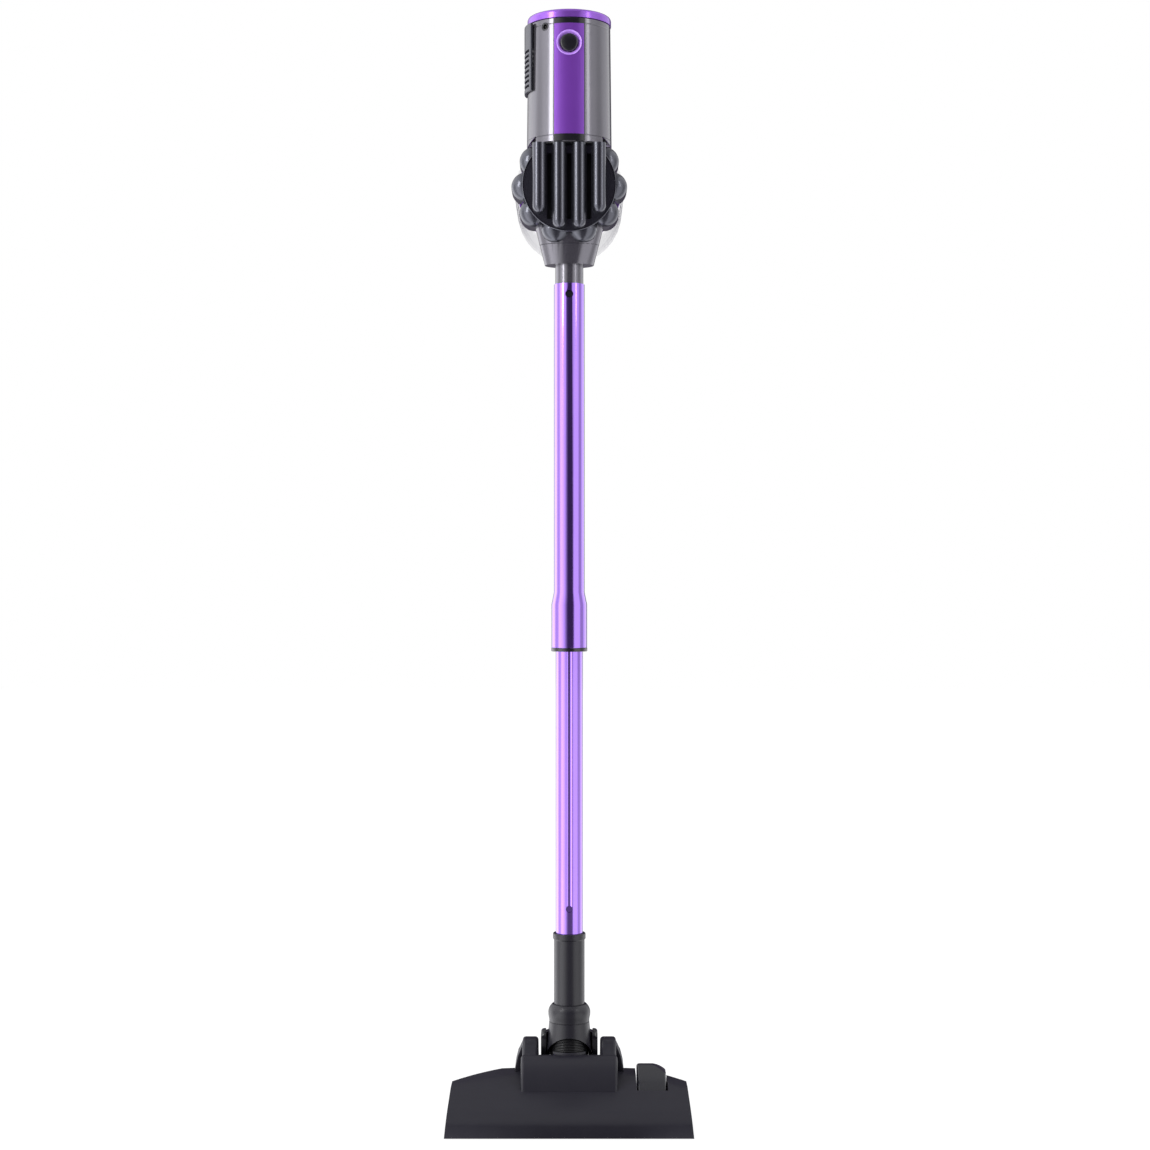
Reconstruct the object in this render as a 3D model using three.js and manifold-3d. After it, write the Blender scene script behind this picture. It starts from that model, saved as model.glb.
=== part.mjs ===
// A cordless stick vacuum: floor head, tilting and swivelling neck, telescopic wand and
// a hand unit with motor, battery, ten-lobed cyclone and removable dust bin.
// Millimetres. +Z is up, -Y is the front, and the wand's axis is the Z axis. z = 0 is the floor.
import * as THREE from 'three';
import { mergeVertices } from 'three/addons/utils/BufferGeometryUtils.js';
import Module from 'manifold-3d';

const wasm = await Module();
wasm.setup();

// ---------------------------------------------------------------- driving dimensions
const GAP = 0.3; // between touching pieces
const FAR = 400; // reach of a cutting block past the piece it cuts

// floor head
const HEAD_WIDTH = 252;
const HEAD_TAPER = 4; // each end leans in by this much up to the head's top
const HEAD_FRONT = -89;
const HEAD_END_BACK = -18; // where the short ends stop
const HEAD_MID_BACK = 27; // where the curved rear edge reaches in the middle
const HEAD_BAND = 18; // height of the upright front band
const HEAD_TOP = 50.5;
const HEAD_ARCH = 10; // how far the top falls towards the ends
const HEAD_WALL = 2.5;
const SOLE_THICK = 3;
const MOUTH_WIDTH = 190;
const MOUTH_FRONT = -66;
const MOUTH_BACK = -48;
const BRISTLE_WIDTH = 196;
const BRISTLE_THICK = 2.4;
const BRISTLE_LINES = [-73.5, -40.5]; // the two bristle strips, in front of the mouth and behind it
const CARRIER_Z = 8.5;

// hump with the two cheeks that hold the neck
const HUMP_HALF = 50;
const HUMP_FRONT = -43;
const HUMP_TOP = 63.3;
const HUMP_FLARE = 57; // half width of the cheeks at their foot
const CHEEK_IN = 32.4;
const CHEEK_OUT = 49;
const CHEEK_TOP = 82;
const CHANNEL_HALF = 31.6; // half width of the well that the neck tilts in
const HINGE_Y = 4;
const HINGE_Z = 52;
const PIN_R = 3;
const WHEEL_R = 14;
const WHEEL_WIDTH = 13;
const WHEEL_X = 44.5;
const WHEEL_Y = 38;
const AXLE_R = 2.5;
const AXLE_STUB = 4;

// brush pedal
const PEDAL_X = [70.4, 100.8];
const PEDAL_FRONT = -43;
const PEDAL_BACK = 4;
const PEDAL_PIVOT_Y = -14;
const PEDAL_PIVOT_Z = 27;
const PEDAL_PIN_R = 1.8;

// neck
const HOSE_R = 20;
const HOSE_WALL = 2.2;
const HOSE_FOOT = 34;
const HOSE_TOP = 92;
const HOSE_RINGS = 6;
const EAR_OUT = 29.8;
const EAR_THICK = 5.4;
const EAR_TOP = 91.6;
const EAR_R = 10;
const SKIRT_R = 23.6;
const SKIRT_FOOT = 64;
const ARCH_TOP = 82;
const COLLAR_BULGE_R = 22.2;
const COLLAR_WAIST_R = 20.8;
const COLLAR_TOP = 118.7;
const NECK_R = 16;
const NECK_FOOT = 99;
const NECK_TOP = 193;
const NECK_RIM_R = 17.1;
const NECK_RIM = 6;

// wand
const LOWER_R = 14.2;
const LOWER_FOOT = 130;
const LOWER_TOP = 570;
const TUBE_WALL = 1;
const GROOVE_WIDTH = 7.4;
const GROOVE_DEEP = 1.6;
const GROOVE_FOOT = 216;
const UPPER_R = 16;
const UPPER_TOP = 872.6;
const SLEEVE_R = 18.65;
const SLEEVE_FOOT = 488;
const SLEEVE_TOP = 537;
const SLEEVE_CONE = 13;
const SLEEVE_RING = 4;
const LOCK_Z = 516;
const LOCK_HALF = 8;
const NOTCH_PITCH = 26;
const NOTCH_COUNT = 10;
const CATCH_Z = 861; // the snap button that holds the hand unit on the wand
const CATCH_R = 4;

// hand unit
const SPIGOT_R = 14.7;
const SPIGOT_WALL = 2;
const SPIGOT_FOOT = 842;
const CONE_FOOT = 892.5;
const CONE_TOP = 938;
const CONE_WALL = 2;
const CYCLONE_Z = 972; // height of the cyclone's axis, which runs front to back
const LOBES = 10;
const LOBE_R = 15.1;
const LOBE_RING = 45.2;
const LOBE_WALL = 2;
const LOBE_FRONT = -24;
const LOBE_BACK = 12;
const DRUM_R = 47;
const DRUM_WALL = 4;
const COVER_R = 48.7;
const COVER_Y = -28;
const COVER_THICK = 3.4;
const COVER_PROUD = -45;
const RIB_R = 7.2;
const RIB_PITCH = 20.5;
const RIB_FEET = [926, 941.5]; // inner ribs, outer ribs
const BIN_R = 57.7;
const BIN_WALL = 1.7;
const BIN_FRONT = 13;
const BIN_BACK = 131;
const DOOR_THICK = 4;
const DOOR_PIN_R = 1.3;
const DOOR_PIN_DROP = 3; // from the bin's outer wall down to the door's hinge pin
const DOOR_PIN_BACK = 1.5; // from the bin's rear rim back to the pin
const SHROUD_R = 36;
const SHROUD_LENGTH = 66;
const SKIRT_RING_R = 50.5;
const HOUSING_FOOT = 1014.3;
const HOUSING_TOP = 1142;
const HOUSING_TOP_R = 43;
const HOUSING_FOOT_R = 44.4;
const HOUSING_WALL = 2.2;
const RING_R = 43.8;
const RING_TOP = 1151;
const STRIPE_WIDTH = 30.7;
const STRIPE_Z = [1022, 1136];
const BUTTON_Z = 1116;
const BUTTON_R = 9.1;
const DISH_R = 13.4;
const SOCKET_Z = 1134;
const SOCKET_R = 3.5;
const SOCKET_DEEP = 9;
const SOCKET_TURN = -35.5; // degrees round from the front
const GRILLE_R = 47;
const GRILLE_Z = [1071, 1141];
const GRILLE_TURN = [-105, -58]; // degrees round from the front
const GRILLE_SLOTS = 8;
const GRILLE_PITCH = 5.2;
const GRILLE_FIRST = 1075.5;
const CELL_R = 9.2;
const CELL_LENGTH = 65;
const CELL_Z = [1107.5, 1127];
const MOTOR_R = 24;
const MOTOR_Z = [1064, 1092];
const SHAFT_R = 2.5;
const FAN_R = 29;
const FAN_Z = [1047, 1057];
const GRIP_WIDTH = 26;
const GRIP_THICK = 18;
const GRIP_TOP = 1126; // height of the handle's upper arm
const BIN_TOP = CYCLONE_Z + BIN_R;
const GRIP_FOOT = BIN_TOP + 16.3; // height of the handle's lower arm, which clears the bin
const BIN_BUTTON_Y = [60, 72];
const BIN_BUTTON_FOOT = BIN_TOP + 4.3;
const BIN_BUTTON_TRAVEL = 3;

// ---------------------------------------------------------------- shaping helpers
const rad = (degrees) => (degrees * Math.PI) / 180;

function indexed(geometry) {
  const bare = geometry.clone();
  bare.deleteAttribute('normal');
  bare.deleteAttribute('uv');
  return mergeVertices(bare, 1e-4);
}

function solid(geometry) {
  const merged = indexed(geometry);
  const points = merged.attributes.position.array;
  const source = merged.index.array;
  const corners = [];
  let volume = 0;
  for (let i = 0; i < source.length; i += 3) {
    const [a, b, c] = [source[i], source[i + 1], source[i + 2]];
    if (a === b || b === c || c === a) continue;
    corners.push(a, b, c);
    const [p, q, r] = [a, b, c].map((n) => new THREE.Vector3().fromArray(points, n * 3));
    volume += p.dot(q.cross(r));
  }
  if (volume < 0) corners.reverse();
  const mesh = new wasm.Mesh({
    numProp: 3,
    vertProperties: Float32Array.from(points),
    triVerts: Uint32Array.from(corners),
  });
  return new wasm.Manifold(mesh);
}

function surface(body) {
  const mesh = body.getMesh();
  const geometry = new THREE.BufferGeometry();
  geometry.setAttribute('position', new THREE.BufferAttribute(mesh.vertProperties, 3));
  geometry.setIndex(new THREE.BufferAttribute(mesh.triVerts, 1));
  geometry.computeVertexNormals();
  return geometry;
}

const join = (first, ...others) => others.reduce((sum, next) => sum.add(next), first);
const cut = (first, ...others) => others.reduce((rest, next) => rest.subtract(next), first);

function box(x0, x1, y0, y1, z0, z1) {
  const block = new THREE.BoxGeometry(x1 - x0, y1 - y0, z1 - z0);
  return solid(block.translate((x0 + x1) / 2, (y0 + y1) / 2, (z0 + z1) / 2));
}

// a round bar along Z
function rod(radius, z0, z1, sides = 24, endRadius = radius) {
  const bar = new THREE.CylinderGeometry(endRadius, radius, z1 - z0, sides);
  return solid(bar.rotateX(Math.PI / 2).translate(0, 0, (z0 + z1) / 2));
}

// a round bar along X through (y, z)
function barX(radius, x0, x1, y, z, sides = 16) {
  const bar = new THREE.CylinderGeometry(radius, radius, x1 - x0, sides);
  return solid(bar.rotateZ(Math.PI / 2).translate((x0 + x1) / 2, y, z));
}

// a round bar along Y through (x, z)
function barY(radius, y0, y1, x, z, sides = 16) {
  const bar = new THREE.CylinderGeometry(radius, radius, y1 - y0, sides);
  return solid(bar.translate(x, (y0 + y1) / 2, z));
}

// a shape turned about Z from [radius, z] points
function turned(profile, sides = 24) {
  const points = profile.map(([r, z]) => new THREE.Vector2(r, z));
  return solid(new THREE.LatheGeometry(points, sides).rotateX(Math.PI / 2));
}

// a tube along Z: outer and inner radius between two heights
function tube(outer, inner, z0, z1, sides = 24) {
  return turned([[inner, z0], [outer, z0], [outer, z1], [inner, z1], [inner, z0]], sides);
}

function outline(points) {
  return new THREE.Shape(points.map(([a, b]) => new THREE.Vector2(a, b)));
}

function extruded(shape, depth) {
  return new THREE.ExtrudeGeometry(shape, { depth, bevelEnabled: false, curveSegments: 6 });
}

// an outline in (y, z) run along X from x0 to x1
function alongX(shape, x0, x1) {
  const turn = new THREE.Matrix4().makeBasis(
    new THREE.Vector3(0, 1, 0), new THREE.Vector3(0, 0, 1), new THREE.Vector3(1, 0, 0));
  return solid(extruded(shape, x1 - x0).applyMatrix4(turn).translate(x0, 0, 0));
}

// an outline in (x, z) run along Y from y0 to y1
function alongY(shape, y0, y1) {
  const turn = new THREE.Matrix4().makeBasis(
    new THREE.Vector3(1, 0, 0), new THREE.Vector3(0, 0, 1), new THREE.Vector3(0, -1, 0));
  return solid(extruded(shape, y1 - y0).applyMatrix4(turn).translate(0, y1, 0));
}

// an outline in (x, y) run up Z from z0 to z1
function alongZ(shape, z0, z1) {
  return solid(extruded(shape, z1 - z0).translate(0, 0, z0));
}

// a wedge about Z between two angles measured from the front, positive towards +X
function wedge(fromDegrees, toDegrees, reach, z0, z1) {
  const corner = (degrees) => [reach * Math.sin(rad(degrees)), -reach * Math.cos(rad(degrees))];
  return alongZ(outline([[0, 0], corner(fromDegrees), corner(toDegrees)]), z0, z1);
}

const spun = (body, degrees) => body.rotate([0, 0, degrees]);
const moved = (body, x, y, z) => body.translate([x, y, z]);

function colour(hex, roughness, metalness) {
  return () => new THREE.MeshStandardMaterial({ color: hex, roughness, metalness });
}

const purpleMetal = colour(0x8a4ac8, 0.22, 0.9);
const purplePlastic = colour(0x7a3fb0, 0.35, 0.1);
const greyGloss = colour(0x6c6a70, 0.25, 0.5);
const charcoalGloss = colour(0x34363c, 0.2, 0.2);
const charcoal = colour(0x36343c, 0.5, 0.05);
const blackGloss = colour(0x101014, 0.25, 0.1);
const clear = () => new THREE.MeshStandardMaterial({
  color: 0xe8e4f0, roughness: 0.08, metalness: 0, transparent: true, opacity: 0.3,
});
const rubber = colour(0x1c1c20, 0.8, 0);
const steel = colour(0xb8bac0, 0.3, 0.95);
const copper = colour(0xa86a3c, 0.4, 0.8);
const boardGreen = colour(0x1f5a38, 0.6, 0);
const cellBlue = colour(0x2f6fb0, 0.45, 0.2);
const fibre = colour(0xd8d4cc, 0.95, 0);

function piece(name, body, material) {
  const mesh = new THREE.Mesh(surface(body), material());
  mesh.name = name;
  return mesh;
}

// ---------------------------------------------------------------- floor head
// plan of the head, drawn in by inset: straight front and ends, arched rear edge
function headPlan(inset) {
  const half = HEAD_WIDTH / 2 - inset;
  const back = HEAD_END_BACK - inset;
  const rise = HEAD_MID_BACK - HEAD_END_BACK;
  const radius = (half * half + rise * rise) / (2 * rise);
  const sweep = Math.asin(half / radius);
  const shape = new THREE.Shape();
  const corner = Math.max(5 - inset, 1);
  shape.moveTo(-half + corner, HEAD_FRONT + inset);
  shape.lineTo(half - corner, HEAD_FRONT + inset);
  shape.quadraticCurveTo(half, HEAD_FRONT + inset, half, HEAD_FRONT + inset + corner);
  shape.lineTo(half, back);
  const centre = HEAD_MID_BACK - inset - radius;
  shape.absarc(0, centre, radius, Math.PI / 2 - sweep, Math.PI / 2 + sweep, false);
  shape.lineTo(-half, HEAD_FRONT + inset + corner);
  shape.quadraticCurveTo(-half, HEAD_FRONT + inset, -half + corner, HEAD_FRONT + inset);
  return shape;
}

// side view of the head: upright band, long slope, rounded rear
function headSide(inset, foot) {
  const shape = new THREE.Shape();
  shape.moveTo(HEAD_FRONT + inset, foot);
  shape.lineTo(HEAD_FRONT + 3 + inset, HEAD_BAND - inset);
  shape.quadraticCurveTo(-34, HEAD_TOP - 7 - inset, -2, HEAD_TOP - inset);
  shape.quadraticCurveTo(16, HEAD_TOP - inset, HEAD_MID_BACK - inset, HEAD_TOP - 14 - inset);
  shape.lineTo(HEAD_MID_BACK - inset, foot);
  return shape;
}

// front view of the head: ends lean in towards an arched top
function headFront(inset, foot) {
  const half = HEAD_WIDTH / 2 - inset;
  const top = HEAD_TOP - inset;
  const shape = new THREE.Shape();
  shape.moveTo(-half, foot);
  shape.lineTo(half, foot);
  shape.lineTo(half - HEAD_TAPER, top - HEAD_ARCH);
  shape.quadraticCurveTo(0, top + HEAD_ARCH, -half + HEAD_TAPER, top - HEAD_ARCH);
  shape.lineTo(-half, foot);
  return shape;
}

function headForm(inset, foot) {
  const half = HEAD_WIDTH / 2;
  const plan = alongZ(headPlan(inset), foot, HEAD_TOP + 2);
  const side = alongX(headSide(inset, foot), -half, half);
  const front = alongY(headFront(inset, foot), HEAD_FRONT - 5, HEAD_MID_BACK + 5);
  return plan.intersect(side).intersect(front);
}

// room for the hump, which stands in the head shell
function humpFootprint(grow, z0, z1) {
  const hood = box(-HUMP_HALF - grow, HUMP_HALF + grow, HUMP_FRONT - grow, 60, z0, z1);
  const flare = box(-HUMP_FLARE - grow, HUMP_FLARE + grow, -6 - grow, 60, z0, z1);
  return join(hood, flare);
}

function headShell() {
  const foot = 0.8;
  const skin = cut(headForm(0, foot), headForm(HEAD_WALL, foot - 1));
  const [x0, x1] = PEDAL_X;
  const wall = 3.4;
  const reach = 6;
  const pocket = box(x0 - 1, x1 + 1, PEDAL_FRONT - 1, 60, 12, FAR);
  const lugs = box(x0 - wall, x1 + wall, PEDAL_PIVOT_Y - reach, PEDAL_PIVOT_Y + reach, CARRIER_Z + 10, FAR);
  const pinHole = barX(PEDAL_PIN_R + GAP, -FAR, x1 + wall - 0.6, PEDAL_PIVOT_Y, PEDAL_PIVOT_Z, 16);
  const lugPair = cut(lugs.intersect(headForm(HEAD_WALL / 2, foot)), pinHole);
  return cut(join(skin, lugPair), pocket, humpFootprint(GAP, -1, FAR));
}

function mouth(z0, z1) {
  return box(-MOUTH_WIDTH / 2, MOUTH_WIDTH / 2, MOUTH_FRONT, MOUTH_BACK, z0, z1);
}

function wheelWell(side, z1) {
  const half = WHEEL_WIDTH / 2 + 1.5;
  const x = side * WHEEL_X;
  return box(x - half, x + half, WHEEL_Y - WHEEL_R - 2, WHEEL_Y + FAR, -1, z1);
}

function solePlate() {
  const plate = alongZ(headPlan(HEAD_WALL + GAP + 0.8), 0, SOLE_THICK);
  const slots = BRISTLE_LINES.map((y) => {
    const half = BRISTLE_WIDTH / 2 + 1;
    return box(-half, half, y - BRISTLE_THICK / 2 - 0.6, y + BRISTLE_THICK / 2 + 0.6, -1, FAR);
  });
  const wells = [-1, 1].map((side) => wheelWell(side, FAR));
  return cut(plate, mouth(-1, FAR), ...slots, ...wells);
}

// the air duct that gathers from the mouth and turns up into the hose
function airDuct() {
  const top = 22;
  const floor = SOLE_THICK + GAP;
  const half = CHANNEL_HALF - GAP;
  const back = 24;
  const outer = box(-half, half, MOUTH_FRONT, back, floor, top);
  const inner = box(-half + 2, half - 2, MOUTH_FRONT + 2, back - 2, floor - 1, top - 2);
  const cuff = rod(HOSE_R - 0.5, top - 1, HOSE_FOOT - GAP, 24);
  const bore = rod(HOSE_R - HOSE_WALL, top - 3, FAR, 24);
  const noseRoom = alongX(headSide(HEAD_WALL + GAP, -1), -FAR, FAR);
  const carrierRoom = box(-FAR, FAR, BRISTLE_LINES[1] - 6, BRISTLE_LINES[1] + 6, CARRIER_Z - 7, 16);
  const shaped = cut(join(outer, cuff).intersect(join(noseRoom, cuff)), inner, bore);
  return cut(shaped, carrierRoom);
}

// one carrier plate holds both bristle strips, and the pedal presses it down
function brushCarrier() {
  const half = BRISTLE_WIDTH / 2;
  const [front, rear] = BRISTLE_LINES;
  const bars = [front, rear].map((y) => box(-half, half, y - 3, y + 3, CARRIER_Z, CARRIER_Z + 4));
  const arms = [-1, 1].map((side) => {
    const x = side * (half - 6);
    return box(x - 5, x + 5, front, rear, CARRIER_Z, CARRIER_Z + 4);
  });
  const grooves = [front, rear].map((y) => {
    const wide = BRISTLE_THICK / 2 + GAP;
    return box(-half + 2, half - 2, y - wide, y + wide, CARRIER_Z - 1, CARRIER_Z + 2);
  });
  return cut(join(...bars, ...arms), ...grooves);
}

function bristleStrip(y) {
  const half = BRISTLE_WIDTH / 2 - 2 - GAP;
  const foot = 1;
  return box(-half, half, y - BRISTLE_THICK / 2, y + BRISTLE_THICK / 2, foot, CARRIER_Z + 2 - GAP);
}

function pedalSide() {
  const shape = new THREE.Shape();
  shape.moveTo(PEDAL_FRONT, 24);
  shape.lineTo(PEDAL_FRONT, 31.5);
  shape.quadraticCurveTo(-38, 37, -28, 43);
  shape.quadraticCurveTo(-14, 51, -6, 54.5);
  shape.quadraticCurveTo(PEDAL_BACK, 59.5, PEDAL_BACK, 50);
  shape.lineTo(PEDAL_BACK, 32);
  shape.lineTo(PEDAL_PIVOT_Y + 5, PEDAL_PIVOT_Z - 5);
  shape.lineTo(PEDAL_PIVOT_Y - 5, PEDAL_PIVOT_Z - 5);
  return shape;
}

function brushPedal() {
  const [x0, x1] = PEDAL_X;
  const body = alongX(pedalSide(), x0, x1);
  const bore = barX(PEDAL_PIN_R + GAP, x0 - 1, x1 + 1, PEDAL_PIVOT_Y, PEDAL_PIVOT_Z, 16);
  const waist = 2.5;
  const hollow = box(x0 + waist, x1 - waist, PEDAL_FRONT + waist, PEDAL_PIVOT_Y - 7, 20, 30);
  return cut(body, bore, hollow);
}

// ---------------------------------------------------------------- hump and hinge
function humpSide() {
  const shape = new THREE.Shape();
  const foot = SOLE_THICK + GAP;
  shape.moveTo(HUMP_FRONT, foot);
  shape.lineTo(HUMP_FRONT, 31);
  shape.lineTo(-33, 54);
  shape.quadraticCurveTo(-29, HUMP_TOP - 1, -22.6, HUMP_TOP);
  shape.lineTo(-HOSE_R - 0.8, HUMP_TOP);
  shape.lineTo(-HOSE_R - 0.8, foot);
  return shape;
}

function cheekSide() {
  const shape = new THREE.Shape();
  const foot = SOLE_THICK + GAP;
  const [front, back] = [-9, 17];
  shape.moveTo(-HOSE_R - 2, foot);
  shape.lineTo(-HOSE_R - 2, HUMP_TOP);
  shape.quadraticCurveTo(front - 4, HUMP_TOP + 2, front, CHEEK_TOP - 3);
  shape.quadraticCurveTo(front + 1, CHEEK_TOP, front + 5, CHEEK_TOP);
  shape.lineTo(back - 8, CHEEK_TOP);
  shape.quadraticCurveTo(back, CHEEK_TOP - 1, back + 6, CHEEK_TOP - 14);
  shape.quadraticCurveTo(WHEEL_Y + 12, 52, WHEEL_Y + WHEEL_R + 4, 24);
  shape.lineTo(WHEEL_Y + WHEEL_R + 4, foot + 6);
  shape.lineTo(WHEEL_Y + WHEEL_R - 4, foot);
  return shape;
}

function flareFront(side) {
  const foot = SOLE_THICK + GAP;
  return outline([
    [side * (CHEEK_OUT - 1), foot], [side * HUMP_FLARE, foot], [side * HUMP_FLARE, HEAD_TOP],
    [side * (HUMP_FLARE - 3), HEAD_TOP + 14], [side * (CHEEK_OUT - 1), CHEEK_TOP - 3],
  ]);
}

function hump() {
  const inner = 1.2;
  const side = cheekSide();
  const hood = alongX(humpSide(), -HUMP_HALF, HUMP_HALF);
  const cheeks = [-1, 1].map((hand) => {
    const [x0, x1] = hand > 0 ? [CHEEK_IN, CHEEK_OUT] : [-CHEEK_OUT, -CHEEK_IN];
    const flare = alongY(flareFront(hand), -6, FAR).intersect(alongX(side, -HUMP_FLARE, HUMP_FLARE));
    return join(alongX(side, x0, x1), flare);
  });
  const well = box(-CHANNEL_HALF, CHANNEL_HALF, -HOSE_R - 0.8, FAR, -1, FAR);
  const ductRoom = box(-CHANNEL_HALF, CHANNEL_HALF, HUMP_FRONT - 1, 26, -1, 22 + GAP);
  const carrierRoom = box(-FAR, FAR, BRISTLE_LINES[1] - 6, BRISTLE_LINES[1] + 6, -1, CARRIER_Z + 6);
  const wells = [-1, 1].map((hand) => wheelWell(hand, 2 * WHEEL_R + 3));
  const pinHole = barX(PIN_R + GAP, -CHEEK_OUT + 3, CHEEK_OUT - 3, HINGE_Y, HINGE_Z);
  const axleHoles = [-1, 1].map((hand) => {
    const half = WHEEL_WIDTH / 2 + AXLE_STUB + GAP;
    return barX(AXLE_R + GAP, hand * WHEEL_X - half, hand * WHEEL_X + half, WHEEL_Y, WHEEL_R, 20);
  });
  const hollows = [-1, 1].map((hand) => {
    const x = hand * 41;
    return box(x - 7, x + 7, HUMP_FRONT + 3, -14, -1, 34 - inner);
  });
  return cut(join(hood, ...cheeks), well, ductRoom, carrierRoom, ...wells, pinHole, ...axleHoles, ...hollows);
}

function hingePin(side) {
  const [inner, outer] = [EAR_OUT - EAR_THICK + 1, CHEEK_OUT - 3.4];
  const [x0, x1] = side > 0 ? [inner, outer] : [-outer, -inner];
  return barX(PIN_R, x0, x1, HINGE_Y, HINGE_Z);
}

// a wheel with its stub axles, centred on its own origin and turned about Z
function wheel() {
  const half = WHEEL_WIDTH / 2;
  const round = 2;
  const rim = WHEEL_R - round;
  const stub = half + AXLE_STUB;
  return turned([
    [0, -stub], [AXLE_R, -stub], [AXLE_R, -half], [rim, -half], [WHEEL_R, -half + round],
    [WHEEL_R, half - round], [rim, half], [AXLE_R, half], [AXLE_R, stub], [0, stub],
  ], 20);
}

// ---------------------------------------------------------------- neck
function hose() {
  const inner = HOSE_R - HOSE_WALL;
  const pitch = (HOSE_TOP - HOSE_FOOT) / HOSE_RINGS;
  const profile = [[inner, HOSE_FOOT], [HOSE_R - 1, HOSE_FOOT]];
  for (let ring = 0; ring < HOSE_RINGS; ring += 1) {
    const z = HOSE_FOOT + ring * pitch;
    profile.push([HOSE_R, z + pitch / 2], [HOSE_R - 1, z + pitch]);
  }
  profile.push([inner, HOSE_TOP], [inner, HOSE_FOOT]);
  return turned(profile, 20);
}

// two ears on the hinge pins, joined behind the collar by half a ring
function yoke() {
  const inner = EAR_OUT - EAR_THICK;
  const ring = tube(EAR_OUT - 0.4, SKIRT_R + 0.4, SKIRT_FOOT + 4, EAR_TOP - 4);
  const band = ring.intersect(box(-FAR, FAR, HINGE_Y - 6, FAR, 0, FAR));
  const ear = new THREE.Shape();
  const top = EAR_TOP - EAR_R;
  ear.moveTo(HINGE_Y - EAR_R, HINGE_Z);
  ear.absarc(HINGE_Y, top, EAR_R, Math.PI, 0, true);
  ear.absarc(HINGE_Y, HINGE_Z, EAR_R, 0, Math.PI, true);
  const ears = [-1, 1].map((side) => {
    const [x0, x1] = side > 0 ? [inner, EAR_OUT] : [-EAR_OUT, -inner];
    return alongX(ear, x0, x1);
  });
  const pinHole = barX(PIN_R + GAP, -FAR, FAR, HINGE_Y, HINGE_Z);
  const skirtRoom = rod(SKIRT_R + 0.4, 0, FAR, 32);
  return cut(join(band, ...ears), pinHole, skirtRoom);
}

function collar() {
  const bore = NECK_R + GAP;
  const hoseRoom = HOSE_R + 0.5;
  const step = HOSE_TOP + 1.6;
  const body = turned([
    [hoseRoom, SKIRT_FOOT], [SKIRT_R, SKIRT_FOOT], [SKIRT_R, 88], [SKIRT_R - 0.6, 91],
    [COLLAR_WAIST_R + 0.8, 96], [COLLAR_WAIST_R, 101], [COLLAR_BULGE_R - 0.4, 106], [COLLAR_BULGE_R, 109],
    [COLLAR_BULGE_R - 0.8, 112], [19.6, 116], [18.2, COLLAR_TOP], [bore, COLLAR_TOP],
    [bore, step + 2], [hoseRoom, step], [hoseRoom, SKIRT_FOOT],
  ], 28);
  const arch = barY(HOSE_R, -FAR, 0, 0, ARCH_TOP - HOSE_R, 32);
  return cut(body, arch);
}

function neckTube() {
  const bore = LOWER_R + GAP;
  const airway = LOWER_R - 2;
  const rimFoot = NECK_TOP - NECK_RIM;
  return turned([
    [airway, NECK_FOOT], [NECK_R, NECK_FOOT], [NECK_R, rimFoot - 1], [NECK_RIM_R, rimFoot],
    [NECK_RIM_R, NECK_TOP - 0.8], [NECK_RIM_R - 0.8, NECK_TOP], [bore, NECK_TOP],
    [bore, LOWER_FOOT - GAP], [airway, LOWER_FOOT - GAP], [airway, NECK_FOOT],
  ], 28);
}

// ---------------------------------------------------------------- wand
function lowerTube() {
  const inner = LOWER_R - TUBE_WALL;
  const skin = tube(LOWER_R, inner, LOWER_FOOT, LOWER_TOP, 28);
  const half = GROOVE_WIDTH / 2;
  const floor = LOWER_R - GROOVE_DEEP;
  const corner = Math.sqrt(LOWER_R ** 2 - (half + TUBE_WALL) ** 2) + 0.2; // stays within the sleeve's bore
  const backing = box(-half - TUBE_WALL, half + TUBE_WALL, -corner, -floor + TUBE_WALL,
    GROOVE_FOOT - TUBE_WALL, LOWER_TOP);
  const groove = box(-half, half, -FAR, -floor, GROOVE_FOOT, LOWER_TOP + 1);
  const firstNotch = LOCK_Z - (NOTCH_COUNT - 1) * NOTCH_PITCH;
  const notches = Array.from({ length: NOTCH_COUNT }, (unused, step) => {
    const z = firstNotch + step * NOTCH_PITCH;
    return box(-2.5, 2.5, inner - 2, FAR, z - 3, z + 3);
  });
  return cut(join(skin, backing), groove, ...notches);
}

function upperTube() {
  const bore = UPPER_R - TUBE_WALL;
  const foot = SLEEVE_FOOT + SLEEVE_RING;
  const skin = turned([
    [SLEEVE_R - TUBE_WALL, foot], [SLEEVE_R, foot], [SLEEVE_R, SLEEVE_TOP],
    [UPPER_R, SLEEVE_TOP + SLEEVE_CONE], [UPPER_R, UPPER_TOP], [bore, UPPER_TOP],
    [bore, SLEEVE_TOP + SLEEVE_CONE], [SLEEVE_R - TUBE_WALL, SLEEVE_TOP], [SLEEVE_R - TUBE_WALL, foot],
  ], 32);
  const catchHole = barY(CATCH_R, -FAR, 0, 0, CATCH_Z, 20);
  const lockHole = box(-5, 5, 10, FAR, LOCK_Z - LOCK_HALF, LOCK_Z + LOCK_HALF);
  return cut(skin, catchHole, lockHole);
}

function sleeveRing() {
  const foot = SLEEVE_FOOT;
  const top = foot + SLEEVE_RING - GAP;
  const bore = LOWER_R + GAP;
  return turned([
    [bore, foot], [SLEEVE_R - 0.8, foot], [SLEEVE_R + 0.2, foot + 0.8], [SLEEVE_R + 0.2, top],
    [bore, top], [bore, foot],
  ], 28);
}

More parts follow.
